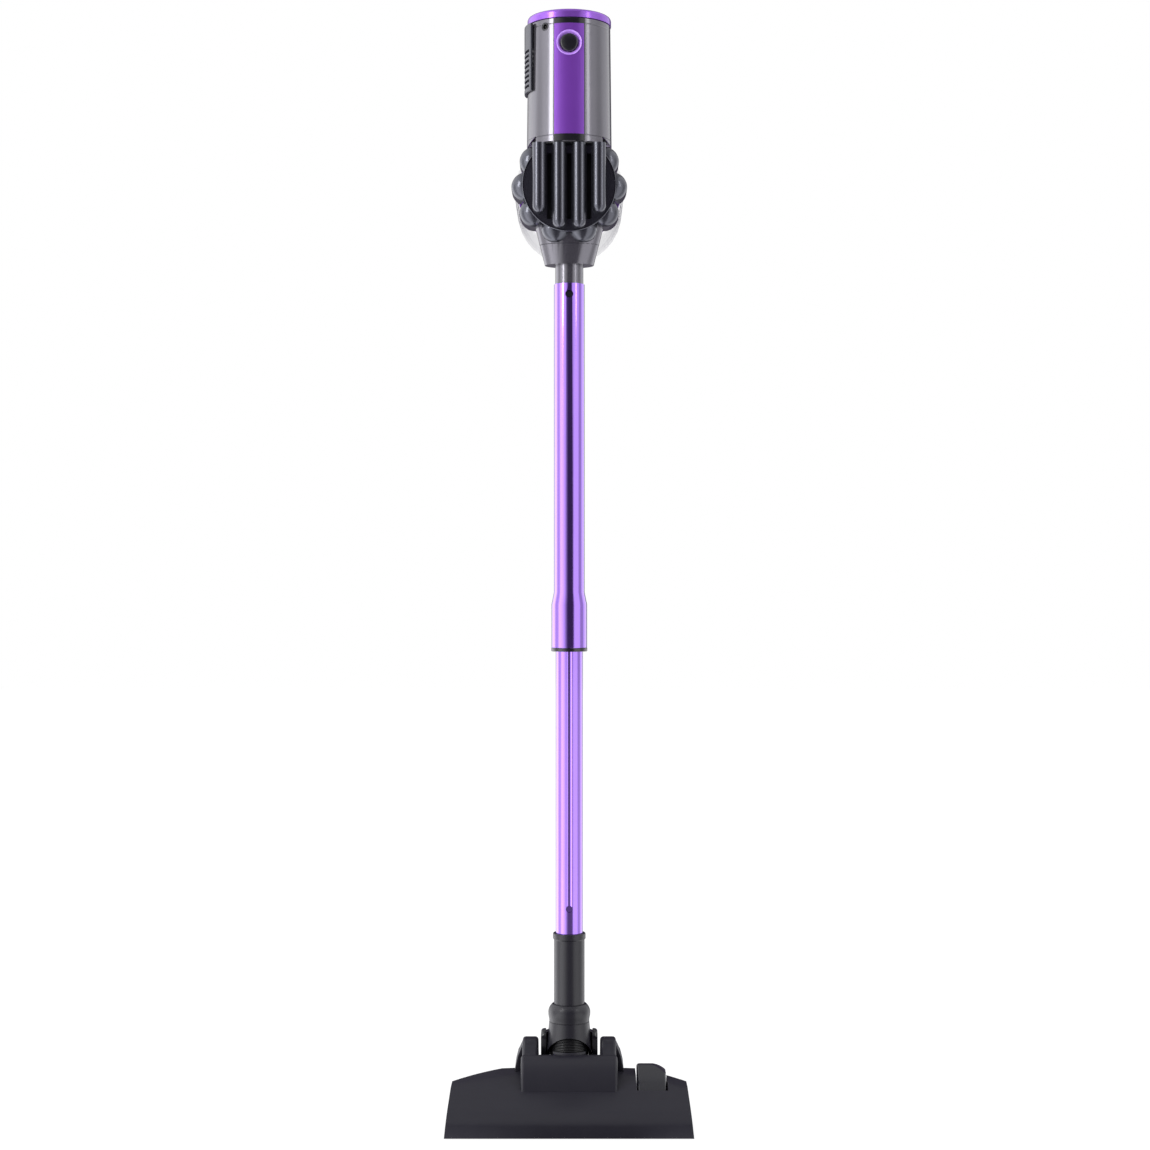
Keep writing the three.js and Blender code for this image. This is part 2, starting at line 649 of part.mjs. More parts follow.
// the bush inside the belled sleeve, with the key that runs in the lower tube's groove
function lockBush() {
  const foot = SLEEVE_FOOT + SLEEVE_RING;
  const bore = LOWER_R + GAP;
  const ring = tube(SLEEVE_R - TUBE_WALL - GAP, bore, foot + 1, SLEEVE_TOP - 1, 32);
  const keyFloor = LOWER_R - GROOVE_DEEP + GAP;
  const half = GROOVE_WIDTH / 2 - GAP;
  const key = box(-half, half, -bore - 1, -keyFloor, foot + 1, foot + 13);
  const pocket = box(-5.6, 5.6, 0, FAR, LOCK_Z - LOCK_HALF - 0.6, LOCK_Z + LOCK_HALF + 0.6);
  return cut(join(ring, key), pocket);
}

function lockButton() {
  const [inner, outer] = [LOWER_R + 1.9, SLEEVE_R + 1.8];
  const side = outline([
    [inner, LOCK_Z - LOCK_HALF + 0.5], [outer - 0.8, LOCK_Z - LOCK_HALF + 0.5], [outer, LOCK_Z - LOCK_HALF + 2],
    [outer, LOCK_Z + LOCK_HALF - 2], [outer - 0.8, LOCK_Z + LOCK_HALF - 0.5], [inner, LOCK_Z + LOCK_HALF - 0.5],
  ]);
  return alongX(side, -4.5, 4.5);
}

// ---------------------------------------------------------------- inlet
function spigot() {
  const pipe = tube(SPIGOT_R, SPIGOT_R - SPIGOT_WALL, SPIGOT_FOOT, CONE_FOOT + 6, 32);
  return cut(pipe, barY(CATCH_R + GAP, -FAR, 0, 0, CATCH_Z, 20));
}

function wandButton() {
  return barY(CATCH_R - GAP, -SPIGOT_R + 0.2, -SPIGOT_R + 4, 0, CATCH_Z, 20);
}

// an oval horn: a cylinder whose rings are widened and shifted as they rise
function ovalHorn(z0, z1, inset, sides = 28) {
  const height = z1 - z0;
  const horn = new THREE.CylinderGeometry(1, 1, height, sides, 1);
  horn.rotateX(Math.PI / 2).translate(0, 0, (z0 + z1) / 2);
  const place = horn.attributes.position;
  const [footHalf, topHalf] = [25.6, 37.4];
  const [footDeep, topDeep] = [18.6, 17];
  const [footY, topY] = [0.5, -4.4];
  for (let i = 0; i < place.count; i += 1) {
    const t = (place.getZ(i) - CONE_FOOT) / (CONE_TOP - CONE_FOOT);
    const wide = footHalf + (topHalf - footHalf) * t - inset;
    const deep = footDeep + (topDeep - footDeep) * t - inset;
    const y = footY + (topY - footY) * t;
    place.setXYZ(i, place.getX(i) * wide, place.getY(i) * deep + y, place.getZ(i));
  }
  return solid(horn);
}

function inletCone() {
  const outer = ovalHorn(CONE_FOOT, CONE_TOP, 0);
  const hollow = ovalHorn(CONE_FOOT + CONE_WALL, CONE_TOP - 28, CONE_WALL);
  const hole = rod(SPIGOT_R + GAP, CONE_FOOT - 1, CONE_FOOT + 8, 32);
  const duct = barY(9, 0, FAR, 0, CONE_TOP - 30, 24);
  return cut(outer, hollow, hole, duct, upright(lobedForm(GAP)), upright(binRoom()));
}

// ---------------------------------------------------------------- cyclone pack
// Built about its own axis (local z runs from front to back) and stood at CYCLONE_Z.
const CYCLONE_TURN = -90;
const upright = (body) => moved(body.rotate([CYCLONE_TURN, 0, 0]), 0, 0, CYCLONE_Z);
const lobeAngle = (step) => 18 + (step * 360) / LOBES;

function lobe(grow) {
  const radius = LOBE_R + grow;
  const dome = 11;
  const profile = [[0, LOBE_FRONT - grow]];
  for (let step = 1; step <= 3; step += 1) {
    const turn = rad((step * 90) / 3);
    profile.push([radius * Math.sin(turn), LOBE_FRONT - grow + dome * (1 - Math.cos(turn))]);
  }
  profile.push([radius, LOBE_BACK - 2], [radius - 1.5, LOBE_BACK + grow], [0, LOBE_BACK + grow]);
  return turned(profile, 12);
}

function aroundLobes(make) {
  return Array.from({ length: LOBES }, (unused, step) => {
    return spun(moved(make(), 0, LOBE_RING, 0), lobeAngle(step));
  });
}

function lobedForm(grow) {
  const drum = rod(DRUM_R + grow, COVER_Y + GAP - grow, LOBE_BACK + grow, 32);
  return join(drum, ...aroundLobes(() => lobe(grow)));
}

function cycloneBody() {
  const plate = 3;
  const drumBore = rod(DRUM_R - DRUM_WALL, COVER_Y - 1, LOBE_BACK - plate, 32);
  const lobeBores = aroundLobes(() => rod(LOBE_R - LOBE_WALL, LOBE_FRONT + 11, LOBE_BACK + 1, 8));
  const ports = coneSpots().map(([x, y]) => moved(rod(4, 0, LOBE_BACK + 1, 8), x, y, 0));
  const lip = box(-FAR, FAR, -FAR, -(HOUSING_FOOT - 1 - CYCLONE_Z), COVER_Y - 1, COVER_Y + 6);
  return cut(lobedForm(0), drumBore, ...lobeBores, ...ports, lip.intersect(rod(DRUM_R + 1, -FAR, -24, 32)));
}

function coneSpots() {
  const ring = 26.5;
  return Array.from({ length: LOBES }, (unused, step) => {
    const turn = rad(lobeAngle(step));
    return [ring * Math.sin(turn), ring * Math.cos(turn)];
  });
}

function cycloneCones() {
  const [front, plate, tip] = [LOBE_BACK + GAP, 2, 52];
  const disc = rod(SHROUD_R - 2, front, front + plate, 28);
  const cones = coneSpots().map(([x, y]) => moved(rod(6.4, front + plate - 0.5, tip, 10, 3.2), x, y, 0));
  const bores = coneSpots().map(([x, y]) => moved(rod(5, front - 1, tip + 1, 10, 1.8), x, y, 0));
  return cut(join(disc, ...cones), ...bores);
}

// perforated drum round the cones, with rows of slots
function shroud() {
  const [front, back, wall] = [LOBE_BACK + GAP, LOBE_BACK + SHROUD_LENGTH, 1.6];
  const cup = cut(rod(SHROUD_R, front, back, 28), rod(SHROUD_R - wall, front - 1, back - wall, 28));
  const slots = Array.from({ length: 6 }, (unused, step) => {
    return spun(box(-3, 3, -FAR, FAR, front + 38, back - 8), step * 30);
  });
  return cut(cup, join(...slots).subtract(rod(SHROUD_R - wall - 1, front, back - wall + 0.5, 28)));
}

function shroudSkirt() {
  const inner = SHROUD_R + GAP;
  const [front, back] = [BIN_FRONT + 24, BIN_FRONT + 34];
  return turned([
    [inner, front], [inner + 4, front], [SKIRT_RING_R, back - 2], [SKIRT_RING_R, back],
    [SKIRT_RING_R - 2, back], [inner + 3, front + 2], [inner, front + 2], [inner, front],
  ], 32);
}

function binSeatRing() {
  const back = BIN_FRONT + 3.2;
  return tube(BIN_R - BIN_WALL - 1.5, SHROUD_R + GAP, BIN_FRONT + 0.2, back, 32);
}

function filterFoam() {
  return rod(DRUM_R - DRUM_WALL - 1, -26, LOBE_FRONT + 10, 32).intersect(
    box(-FAR, FAR, -(HOUSING_FOOT - 2 - CYCLONE_Z), FAR, -FAR, FAR));
}

// room that the bin takes in front of its open rim
function binRoom() {
  return rod(BIN_R + 0.6, BIN_FRONT - 1.2, BIN_BACK, 28);
}

const doorHinge = (radius, half) => {
  return barX(radius, -half, half, BIN_R + DOOR_PIN_DROP, BIN_BACK + DOOR_PIN_BACK, 14);
};

function dustBin() {
  const inner = BIN_R - BIN_WALL;
  const wall = tube(BIN_R, inner, BIN_FRONT, BIN_BACK, 32);
  const lugs = [-1, 1].map((side) => {
    const x = side * 9;
    return box(x - 3, x + 3, BIN_R - 1.2, BIN_R + DOOR_PIN_DROP + 2.6, BIN_BACK - 6, BIN_BACK + 4);
  });
  return cut(join(wall, ...lugs), doorHinge(DOOR_PIN_R + GAP, FAR));
}

function binDoor() {
  const front = BIN_BACK + GAP;
  const back = front + DOOR_THICK;
  const disc = rod(BIN_R, front, back, 32);
  const plug = rod(BIN_R - BIN_WALL - 1.2, front - 4, front + 1, 32);
  const dish = rod(BIN_R - 8, front + 2, back + 1, 32);
  const scoop = rod(BIN_R - BIN_WALL - 3, front - 5, front, 32);
  const knuckle = doorHinge(2.8, 5.6);
  const web = box(-5.6, 5.6, BIN_R - 2, BIN_R + DOOR_PIN_DROP, front, back);
  const lugRoom = [-1, 1].map((side) => {
    const x = side * 9;
    return box(x - 3.4, x + 3.4, BIN_R - 3.4, FAR, front - 1, FAR);
  });
  const latchRoom = box(-8, 8, -FAR, -BIN_R + 0.6, -FAR, FAR);
  return cut(join(cut(disc, ...lugRoom), plug, knuckle, web), dish, scoop, doorHinge(DOOR_PIN_R + GAP, FAR), latchRoom);
}

function doorPin() {
  return doorHinge(DOOR_PIN_R, 11.6);
}

// a small sprung lever over the bin's top edge
function doorLatch() {
  const top = -BIN_R - 5;
  const lever = box(-7, 7, top, -BIN_R - 0.9, BIN_BACK - 14, BIN_BACK + DOOR_THICK + 2);
  const hook = box(-7, 7, top, -BIN_R + 0.2, BIN_BACK + DOOR_THICK + 0.8, BIN_BACK + DOOR_THICK + 3);
  return cut(join(lever, hook), barX(1, -FAR, FAR, top + 2, BIN_BACK - 11, 12));
}

// ribbed cover in front of the foam: disc, four half-round ribs and three slots
function filterCover() {
  const front = COVER_Y - COVER_THICK;
  const top = HOUSING_FOOT - 1;
  const disc = barY(COVER_R, front, COVER_Y, 0, CYCLONE_Z, 32);
  const ribs = [-1.5, -0.5, 0.5, 1.5].map((step) => rib(step * RIB_PITCH, RIB_FEET[Math.abs(step) > 1 ? 1 : 0], top));
  const slots = [-1, 0, 1].map((step) => {
    const x = step * RIB_PITCH;
    return box(x - 2.4, x + 2.4, -FAR, FAR, 936, 1004);
  });
  const above = box(-FAR, FAR, -FAR, FAR, top, top + FAR);
  return cut(join(disc, ...ribs), ...slots, above);
}

function rib(x, foot, top) {
  const centre = COVER_PROUD + RIB_R;
  const bar = moved(rod(RIB_R, foot + RIB_R, top + 2, 16), x, centre, 0);
  const ball = solid(new THREE.SphereGeometry(RIB_R, 16, 8).rotateX(Math.PI / 2));
  const end = moved(ball, x, centre, foot + RIB_R);
  const root = box(x - RIB_R, x + RIB_R, centre, COVER_Y - 1, foot + RIB_R, top + 2);
  const rootEnd = barY(RIB_R, centre, COVER_Y - 1, x, foot + RIB_R, 16);
  return join(bar, end, root, rootEnd);
}

// ---------------------------------------------------------------- motor housing
const housingR = (z) => {
  const t = (z - HOUSING_FOOT) / (HOUSING_TOP - HOUSING_FOOT);
  return HOUSING_FOOT_R + (HOUSING_TOP_R - HOUSING_FOOT_R) * t;
};

// a layer of the tapering housing between two offsets from its outer face
function housingLayer(outerOffset, innerOffset, z0, z1, sides = 36) {
  return turned([
    [housingR(z0) + innerOffset, z0], [housingR(z0) + outerOffset, z0],
    [housingR(z1) + outerOffset, z1], [housingR(z1) + innerOffset, z1], [housingR(z0) + innerOffset, z0],
  ], sides);
}

// everything that the cyclone pack takes away from the housing's foot
function packRoom() {
  const reach = Math.max(LOBE_RING + LOBE_R, BIN_R) + 0.9;
  const lobes = barY(reach, COVER_Y + 0.3, FAR, 0, CYCLONE_Z, 64);
  const cover = barY(COVER_R + 0.8, COVER_Y - 12, COVER_Y + 1, 0, CYCLONE_Z, 32);
  return join(lobes, cover);
}

function motorHousing() {
  const tubeBody = housingLayer(0, -HOUSING_WALL, HOUSING_FOOT, HOUSING_TOP);
  const stripeHalf = STRIPE_WIDTH / 2 + GAP;
  const [z0, z1] = STRIPE_Z;
  const recess = housingLayer(2, -1.3, z0 - GAP, z1 + GAP).intersect(
    box(-stripeHalf, stripeHalf, -FAR, 0, 0, 2000));
  const dish = barY(DISH_R, -FAR, 0, 0, BUTTON_Z, 28);
  const socket = spun(barY(SOCKET_R + GAP, -FAR, 0, 0, SOCKET_Z, 20), SOCKET_TURN);
  const [turn0, turn1] = GRILLE_TURN;
  const vent = wedge(turn0 + 4, turn1 - 4, 90, GRILLE_FIRST, GRILLE_FIRST + GRILLE_SLOTS * GRILLE_PITCH - 3);
  const channel = housingLayer(2, -0.9, GRILLE_Z[0] + 8, GRILLE_Z[1]).intersect(
    wedge(turn1, turn1 + 10, 90, 0, 2000));
  return cut(tubeBody, recess, dish, socket, vent, channel, packRoom());
}

function frontStripe() {
  const [z0, z1] = STRIPE_Z;
  const half = STRIPE_WIDTH / 2;
  const skin = housingLayer(0.2, -1, z0, z1).intersect(box(-half, half, -FAR, 0, 0, 2000));
  return cut(skin, barY(DISH_R, -FAR, 0, 0, BUTTON_Z, 28));
}

// the dished surround of the power button, turned about its own axis
function buttonBezel() {
  const outer = DISH_R - GAP;
  const hole = BUTTON_R + GAP;
  return turned([
    [hole, 0], [outer, 0], [outer, 5], [outer - 0.8, 5.6], [hole + 0.4, 2.4], [hole, 2.4], [hole, 0],
  ], 32);
}

function powerButton() {
  const dome = 0.9;
  return turned([[0, 0], [BUTTON_R, 0], [BUTTON_R, 6], [BUTTON_R - 1.2, 6 + dome], [0, 6.4 + dome]], 28);
}

function chargeSocket() {
  const barrel = cut(rod(SOCKET_R, 0, SOCKET_DEEP, 16), rod(SOCKET_R - 0.9, 2, SOCKET_DEEP + 1, 16));
  return join(barrel, rod(0.7, 1, SOCKET_DEEP - 1, 8));
}

function exhaustGrille() {
  const inner = HOUSING_FOOT_R + 0.1;
  const [z0, z1] = GRILLE_Z;
  const [turn0, turn1] = GRILLE_TURN;
  const panel = tube(GRILLE_R, inner, z0, z1, 48).intersect(wedge(turn0, turn1, 90, z0, z1));
  const slots = Array.from({ length: GRILLE_SLOTS }, (unused, step) => {
    const z = GRILLE_FIRST + step * GRILLE_PITCH;
    return wedge(turn0 + 5, turn1 - 5, 90, z, z + 2.6);
  });
  return cut(panel, ...slots);
}

function topRing() {
  const foot = HOUSING_TOP + GAP;
  const inner = RING_R - 7;
  return turned([
    [inner, foot], [RING_R, foot], [RING_R, RING_TOP - 3], [RING_R - 0.9, RING_TOP - 0.9],
    [RING_R - 3, RING_TOP], [inner + 1, RING_TOP - 0.6], [inner, RING_TOP - 1.6], [inner, foot],
  ], 28);
}

function topCap() {
  const outer = RING_R - 7 - GAP;
  const foot = HOUSING_TOP + GAP;
  return turned([[0, foot], [outer, foot], [outer, RING_TOP - 3], [outer - 1.5, RING_TOP - 2], [0, RING_TOP - 1]], 32);
}

function batteryCell(y, z) {
  const half = CELL_LENGTH / 2;
  const can = barX(CELL_R, -half, half - 1.2, y, z, 20);
  return join(can, barX(2.8, half - 2, half, y, z, 12));
}

function controlBoard() {
  return box(-15, 15, -31, -29.4, 1098, 1136);
}

function switchBody() {
  const stem = barY(2.2, -36.6, -34, 0, BUTTON_Z, 12);
  return join(box(-5, 5, -34.5, -31.3, BUTTON_Z - 5, BUTTON_Z + 5), stem);
}

function motor() {
  const [z0, z1] = MOTOR_Z;
  const can = turned([
    [SHAFT_R + GAP, z0], [MOTOR_R - 3, z0], [MOTOR_R, z0 + 3], [MOTOR_R, z1 - 2], [MOTOR_R - 4, z1],
    [9, z1], [9, z1 + 3], [SHAFT_R + GAP, z1 + 3], [SHAFT_R + GAP, z0],
  ], 32);
  return cut(can, tube(18, 10, z0 + 4, z1 - 4, 20).intersect(box(-30, 30, -5, 5, 0, 2000)),
    box(-30, 30, -4, 4, z0 + 8, z1 - 8).subtract(rod(9, 0, 2000, 16)));
}

function motorMount() {
  const [z0] = MOTOR_Z;
  const outer = HOUSING_TOP_R - HOUSING_WALL - GAP;
  const ring = tube(outer, MOTOR_R + GAP, z0 + 8, z0 + 12, 28);
  const vents = Array.from({ length: 4 }, (unused, step) => {
    return moved(rod(3.4, 0, 2000, 10), 33 * Math.cos(rad(45 + step * 90)), 33 * Math.sin(rad(45 + step * 90)), 0);
  });
  return cut(ring, ...vents);
}

// shaft and fan in one, turning inside the motor
function rotor() {
  const [z0, z1] = FAN_Z;
  const shaft = rod(SHAFT_R, z0, MOTOR_Z[1] + 5, 16);
  const disc = rod(FAN_R, z1 - 1.6, z1, 28);
  const hub = rod(9, z0, z1, 20, 7);
  const blades = Array.from({ length: 8 }, (unused, step) => spun(box(6, FAN_R - 1, -0.8, 0.8, z0, z1), step * 45));
  return join(shaft, disc, hub, ...blades);
}

function fanShroud() {
  const [z0, z1] = FAN_Z;
  const outer = FAN_R + 3.2;
  return turned([
    [14, z0 - 3], [outer, z0 - 3], [outer, z1 + 2], [outer - 2, z1 + 2], [outer - 2, z0 - 1],
    [14, z0 - 1], [14, z0 - 3],
  ], 28);
}

// ---------------------------------------------------------------- handle
const gripLine = new THREE.CatmullRomCurve3([
  [40, GRIP_TOP - 7], [60, GRIP_TOP], [90, GRIP_TOP], [114, GRIP_TOP - 12], [124, GRIP_TOP - 38],
  [114, GRIP_FOOT + 14], [92, GRIP_FOOT + 1.5], [64, GRIP_FOOT], [40, GRIP_FOOT],
].map(([y, z]) => new THREE.Vector3(0, y, z)));

function gripForm(width, thick, sides = 10, steps = 18) {
  const section = new THREE.Shape();
  section.absellipse(0, 0, width / 2, thick / 2, 0, 2 * Math.PI, false, 0);
  const points = section.getPoints(sides).slice(0, -1);
  return solid(new THREE.ExtrudeGeometry(new THREE.Shape(points), {
    steps, bevelEnabled: false, extrudePath: gripLine,
  }));
}

function gripScrewSpots() {
  return [0.2, 0.8].map((t) => gripLine.getPointAt(t));
}

function handleShell(side) {
  const form = gripForm(GRIP_WIDTH, GRIP_THICK);
  const core = rod(housingR(HOUSING_FOOT) + GAP, HOUSING_FOOT, HOUSING_TOP, 32);
  const half = side > 0 ? box(GAP / 2, 60, 0, FAR, 900, 1300) : box(-60, -GAP / 2, 0, FAR, 900, 1300);
  const bores = gripScrewSpots().map((spot) => barX(2.6, 4, FAR, spot.y, spot.z, 14));
  const [y0, y1] = BIN_BUTTON_Y;
  const pocket = box(-8.6, 8.6, y0 - BIN_BUTTON_TRAVEL - 0.6, y1 + 0.6, 900, BIN_BUTTON_FOOT + 5.6);
  return cut(form.intersect(half), core, pocket, ...bores);
}

function gripSleeve() {
  const sleeve = cut(gripForm(GRIP_WIDTH + 3.4, GRIP_THICK + 3.4), gripForm(GRIP_WIDTH + 0.7, GRIP_THICK + 0.7));
  return sleeve.intersect(box(-60, 60, 62, 108, GRIP_TOP - 31, 1300));
}

function handleScrew(spot) {
  const start = 5;
  const slot = box(9.4, 20, spot.y - 0.4, spot.y + 0.4, spot.z - 2.3, spot.z + 2.3);
  return cut(barX(2.3, start, 10, spot.y, spot.z, 14), slot);
}

// a slide button on the underside of the handle that frees the bin
function binButton() {
  return box(-8, 8, BIN_BUTTON_Y[0], BIN_BUTTON_Y[1], BIN_BUTTON_FOOT, BIN_BUTTON_FOOT + 5);
}

// ---------------------------------------------------------------- assembly
const group = new THREE.Group();

const floorHead = new THREE.Group();
group.add(floorHead);
floorHead.add(
  piece('head_shell', headShell(), charcoal),
  piece('hump', hump(), charcoal),
  piece('sole_plate', solePlate(), charcoal),
  piece('air_duct', airDuct(), blackGloss),
  piece('brush_carrier', brushCarrier(), charcoal),
  piece('brush_pedal', brushPedal(), charcoalGloss),
  piece('pedal_pin', barX(PEDAL_PIN_R, PEDAL_X[0] - 2.6, PEDAL_X[1] + 2.6, PEDAL_PIVOT_Y, PEDAL_PIVOT_Z, 16), steel),
);
BRISTLE_LINES.forEach((y, n) => floorHead.add(piece(['bristle_front', 'bristle_rear'][n], bristleStrip(y), rubber)));
[['left', -1], ['right', 1]].forEach(([hand, side]) => {
  const wheelMesh = piece(`wheel_${hand}`, wheel(), rubber);
  wheelMesh.position.set(side * WHEEL_X, WHEEL_Y, WHEEL_R);
  wheelMesh.rotation.y = Math.PI / 2;
  floorHead.add(
    wheelMesh,
    piece(`hinge_pin_${hand}`, hingePin(side), steel),
  );
});

const neck = new THREE.Group();
group.add(neck);
neck.add(
  piece('hose', hose(), blackGloss),
  piece('yoke', yoke(), blackGloss),
  piece('collar', collar(), charcoal),
  piece('neck_tube', neckTube(), charcoal),
);

const wand = new THREE.Group();
group.add(wand);
wand.add(
  piece('lower_tube', lowerTube(), purpleMetal),
  piece('upper_tube', upperTube(), purpleMetal),
  piece('sleeve_ring', sleeveRing(), blackGloss),
  piece('lock_bush', lockBush(), charcoal),
  piece('lock_button', lockButton(), charcoal),
);

const handUnit = new THREE.Group();
group.add(handUnit);
handUnit.add(
  piece('spigot', spigot(), greyGloss),
  piece('wand_button', wandButton(), blackGloss),
  piece('inlet_cone', inletCone(), greyGloss),
  piece('filter_cover', filterCover(), charcoalGloss),
  piece('motor_housing', motorHousing(), greyGloss),
  piece('front_stripe', frontStripe(), purplePlastic),
  piece('exhaust_grille', exhaustGrille(), greyGloss),
  piece('top_ring', topRing(), purplePlastic),
  piece('top_cap', topCap(), greyGloss),
  piece('control_board', controlBoard(), boardGreen),
  piece('power_switch', switchBody(), blackGloss),
  piece('motor', motor(), steel),
  piece('motor_mount', motorMount(), charcoal),
  piece('fan_shroud', fanShroud(), charcoal),
  piece('fan_rotor', rotor(), copper),
  piece('handle_left', handleShell(-1), charcoal),
  piece('handle_right', handleShell(1), charcoal),
  piece('grip_sleeve', gripSleeve(), rubber),
  piece('bin_button', binButton(), purplePlastic),
);
[-1, 1].forEach((row) => CELL_Z.forEach((z, level) => {
  const name = `battery_cell_${(row + 1) + level + 1}`;
  handUnit.add(piece(name, batteryCell(row * (CELL_R + GAP), z), cellBlue));
}));
gripScrewSpots().forEach((spot, n) => handUnit.add(piece(`handle_screw_${n + 1}`, handleScrew(spot), steel)));

const buttonGroup = new THREE.Group(); // local z points forwards, out of the front of the housing
buttonGroup.position.set(0, -38, BUTTON_Z);
buttonGroup.rotation.x = Math.PI / 2;
buttonGroup.add(piece('button_bezel', buttonBezel(), purplePlastic), piece('power_button', powerButton(), blackGloss));
handUnit.add(buttonGroup);

const socket = piece('charge_socket', chargeSocket(), blackGloss);
socket.position.set(0, SOCKET_DEEP - housingR(SOCKET_Z), SOCKET_Z);
socket.rotation.x = Math.PI / 2;
const socketTurn = new THREE.Group(); // turns the socket round from the front to its place
socketTurn.rotation.z = rad(SOCKET_TURN);
socketTurn.add(socket);
handUnit.add(socketTurn);

const cyclone = new THREE.Group(); // local z points backwards along the cyclone's axis
cyclone.position.z = CYCLONE_Z;
cyclone.rotation.x = rad(CYCLONE_TURN);
cyclone.add(
  piece('cyclone_body', cycloneBody(), charcoalGloss),
  piece('cyclone_cones', cycloneCones(), charcoal),
  piece('shroud', shroud(), charcoalGloss),
  piece('shroud_skirt', shroudSkirt(), purplePlastic),
  piece('bin_seat_ring', binSeatRing(), clear),
  piece('filter_foam', filterFoam(), fibre),
  piece('dust_bin', dustBin(), clear),
  piece('bin_door', binDoor(), clear),
  piece('door_pin', doorPin(), steel),
  piece('door_latch', doorLatch(), greyGloss),
);
handUnit.add(cyclone);

export default group;
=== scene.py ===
from math import cos, pi, radians, sin

import bpy
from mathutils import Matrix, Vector


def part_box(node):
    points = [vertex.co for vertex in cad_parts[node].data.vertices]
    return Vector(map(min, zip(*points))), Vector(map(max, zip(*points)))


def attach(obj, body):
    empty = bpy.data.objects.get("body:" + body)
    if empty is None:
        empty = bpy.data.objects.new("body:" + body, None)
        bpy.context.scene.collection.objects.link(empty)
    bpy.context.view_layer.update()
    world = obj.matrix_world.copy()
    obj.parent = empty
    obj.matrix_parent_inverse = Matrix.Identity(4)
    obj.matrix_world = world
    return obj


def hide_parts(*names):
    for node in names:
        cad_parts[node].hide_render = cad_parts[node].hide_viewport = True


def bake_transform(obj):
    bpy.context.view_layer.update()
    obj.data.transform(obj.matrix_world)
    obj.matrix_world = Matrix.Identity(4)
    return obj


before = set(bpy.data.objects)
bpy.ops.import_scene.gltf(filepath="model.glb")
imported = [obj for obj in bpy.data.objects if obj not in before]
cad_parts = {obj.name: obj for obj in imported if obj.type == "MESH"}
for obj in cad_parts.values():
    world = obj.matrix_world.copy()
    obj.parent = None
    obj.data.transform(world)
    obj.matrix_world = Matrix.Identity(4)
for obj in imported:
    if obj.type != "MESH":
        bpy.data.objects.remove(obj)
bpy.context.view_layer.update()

MM = 0.001
EVERYWHERE = 400  # mm, further than any cut has to reach
WELD = 0.002 * MM  # points closer than this become one

AXIS_WAY = {"X": Vector((1, 0, 0)), "Y": Vector((0, 1, 0)), "Z": Vector((0, 0, 1))}
AXIS_TURN = {"X": (0, pi / 2, 0), "Y": (-pi / 2, 0, 0), "Z": (0, 0, 0)}
SLAB_TURN = {"X": (pi / 2, 0, pi / 2), "Y": (pi / 2, 0, 0), "Z": (0, 0, 0)}


# ---------------------------------------------------------------- modelling helpers
def node_box(node):
    """A CAD node's lowest and highest corners, in millimetres."""
    low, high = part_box(node)
    return low / MM, high / MM


def pick(piece):
    """Selects one piece, and nothing else."""
    bpy.ops.object.select_all(action="DESELECT")
    piece.select_set(True)
    bpy.context.view_layer.objects.active = piece
    return piece


def placed(name):
    """Names the new primitive and moves its place into its mesh."""
    piece = bpy.context.object
    piece.name = name
    bpy.ops.object.transform_apply(location=True, rotation=True, scale=True)
    return piece


def block(name, low, high):
    """A box between two corners in mm, the start of a piece or a cutter."""
    low, high = Vector(low), Vector(high)
    bpy.ops.object.select_all(action="DESELECT")
    bpy.ops.mesh.primitive_cube_add(size=1, location=(low + high) / 2 * MM)
    bpy.context.object.scale = (high - low) * MM
    return placed(name)


def rod(name, radius, start, end, axis="Z", centre=(0, 0, 0), sides=96):
    """A cylinder along an axis, from start to end in mm."""
    way = AXIS_WAY[axis]
    middle = (Vector(centre) + way * (start + end) / 2) * MM
    bpy.ops.object.select_all(action="DESELECT")
    bpy.ops.mesh.primitive_cylinder_add(
        vertices=sides, radius=radius * MM, depth=abs(end - start) * MM, location=middle,
        rotation=AXIS_TURN[axis])
    return placed(name)


def turned_round(piece, degrees):
    """Turns a piece about the upright axis."""
    pick(piece)
    piece.rotation_euler.z = radians(degrees)
    bpy.ops.object.transform_apply(location=False, rotation=True, scale=False)
    return piece


def drawn_line(name, points, closed):
    """A straight-sided outline in its own plane, in mm."""
    curve = bpy.data.curves.new(name, "CURVE")
    line = curve.splines.new("POLY")
    line.points.add(len(points) - 1)
    for point, (across, up) in zip(line.points, points):
        point.co = (across * MM, up * MM, 0, 1)
    line.use_cyclic_u = closed
    return curve


def bent(*points, steps=6):
    """Points along a curve pulled towards the middle one of three."""
    start, pull, end = (Vector(point) for point in points)
    path = []
    for step in range(1, steps + 1):
        t = step / steps
        path.append(tuple(start * (1 - t) ** 2 + pull * 2 * t * (1 - t) + end * t ** 2))
    return path


def welded(piece, name):
    """Closes a converted curve's seams and turns its faces outwards."""
    bpy.ops.object.mode_set(mode="EDIT")
    bpy.ops.mesh.select_all(action="SELECT")
    bpy.ops.mesh.remove_doubles(threshold=WELD)
    bpy.ops.mesh.normals_make_consistent(inside=False)
    bpy.ops.object.mode_set(mode="OBJECT")
    piece.name = name
    return piece


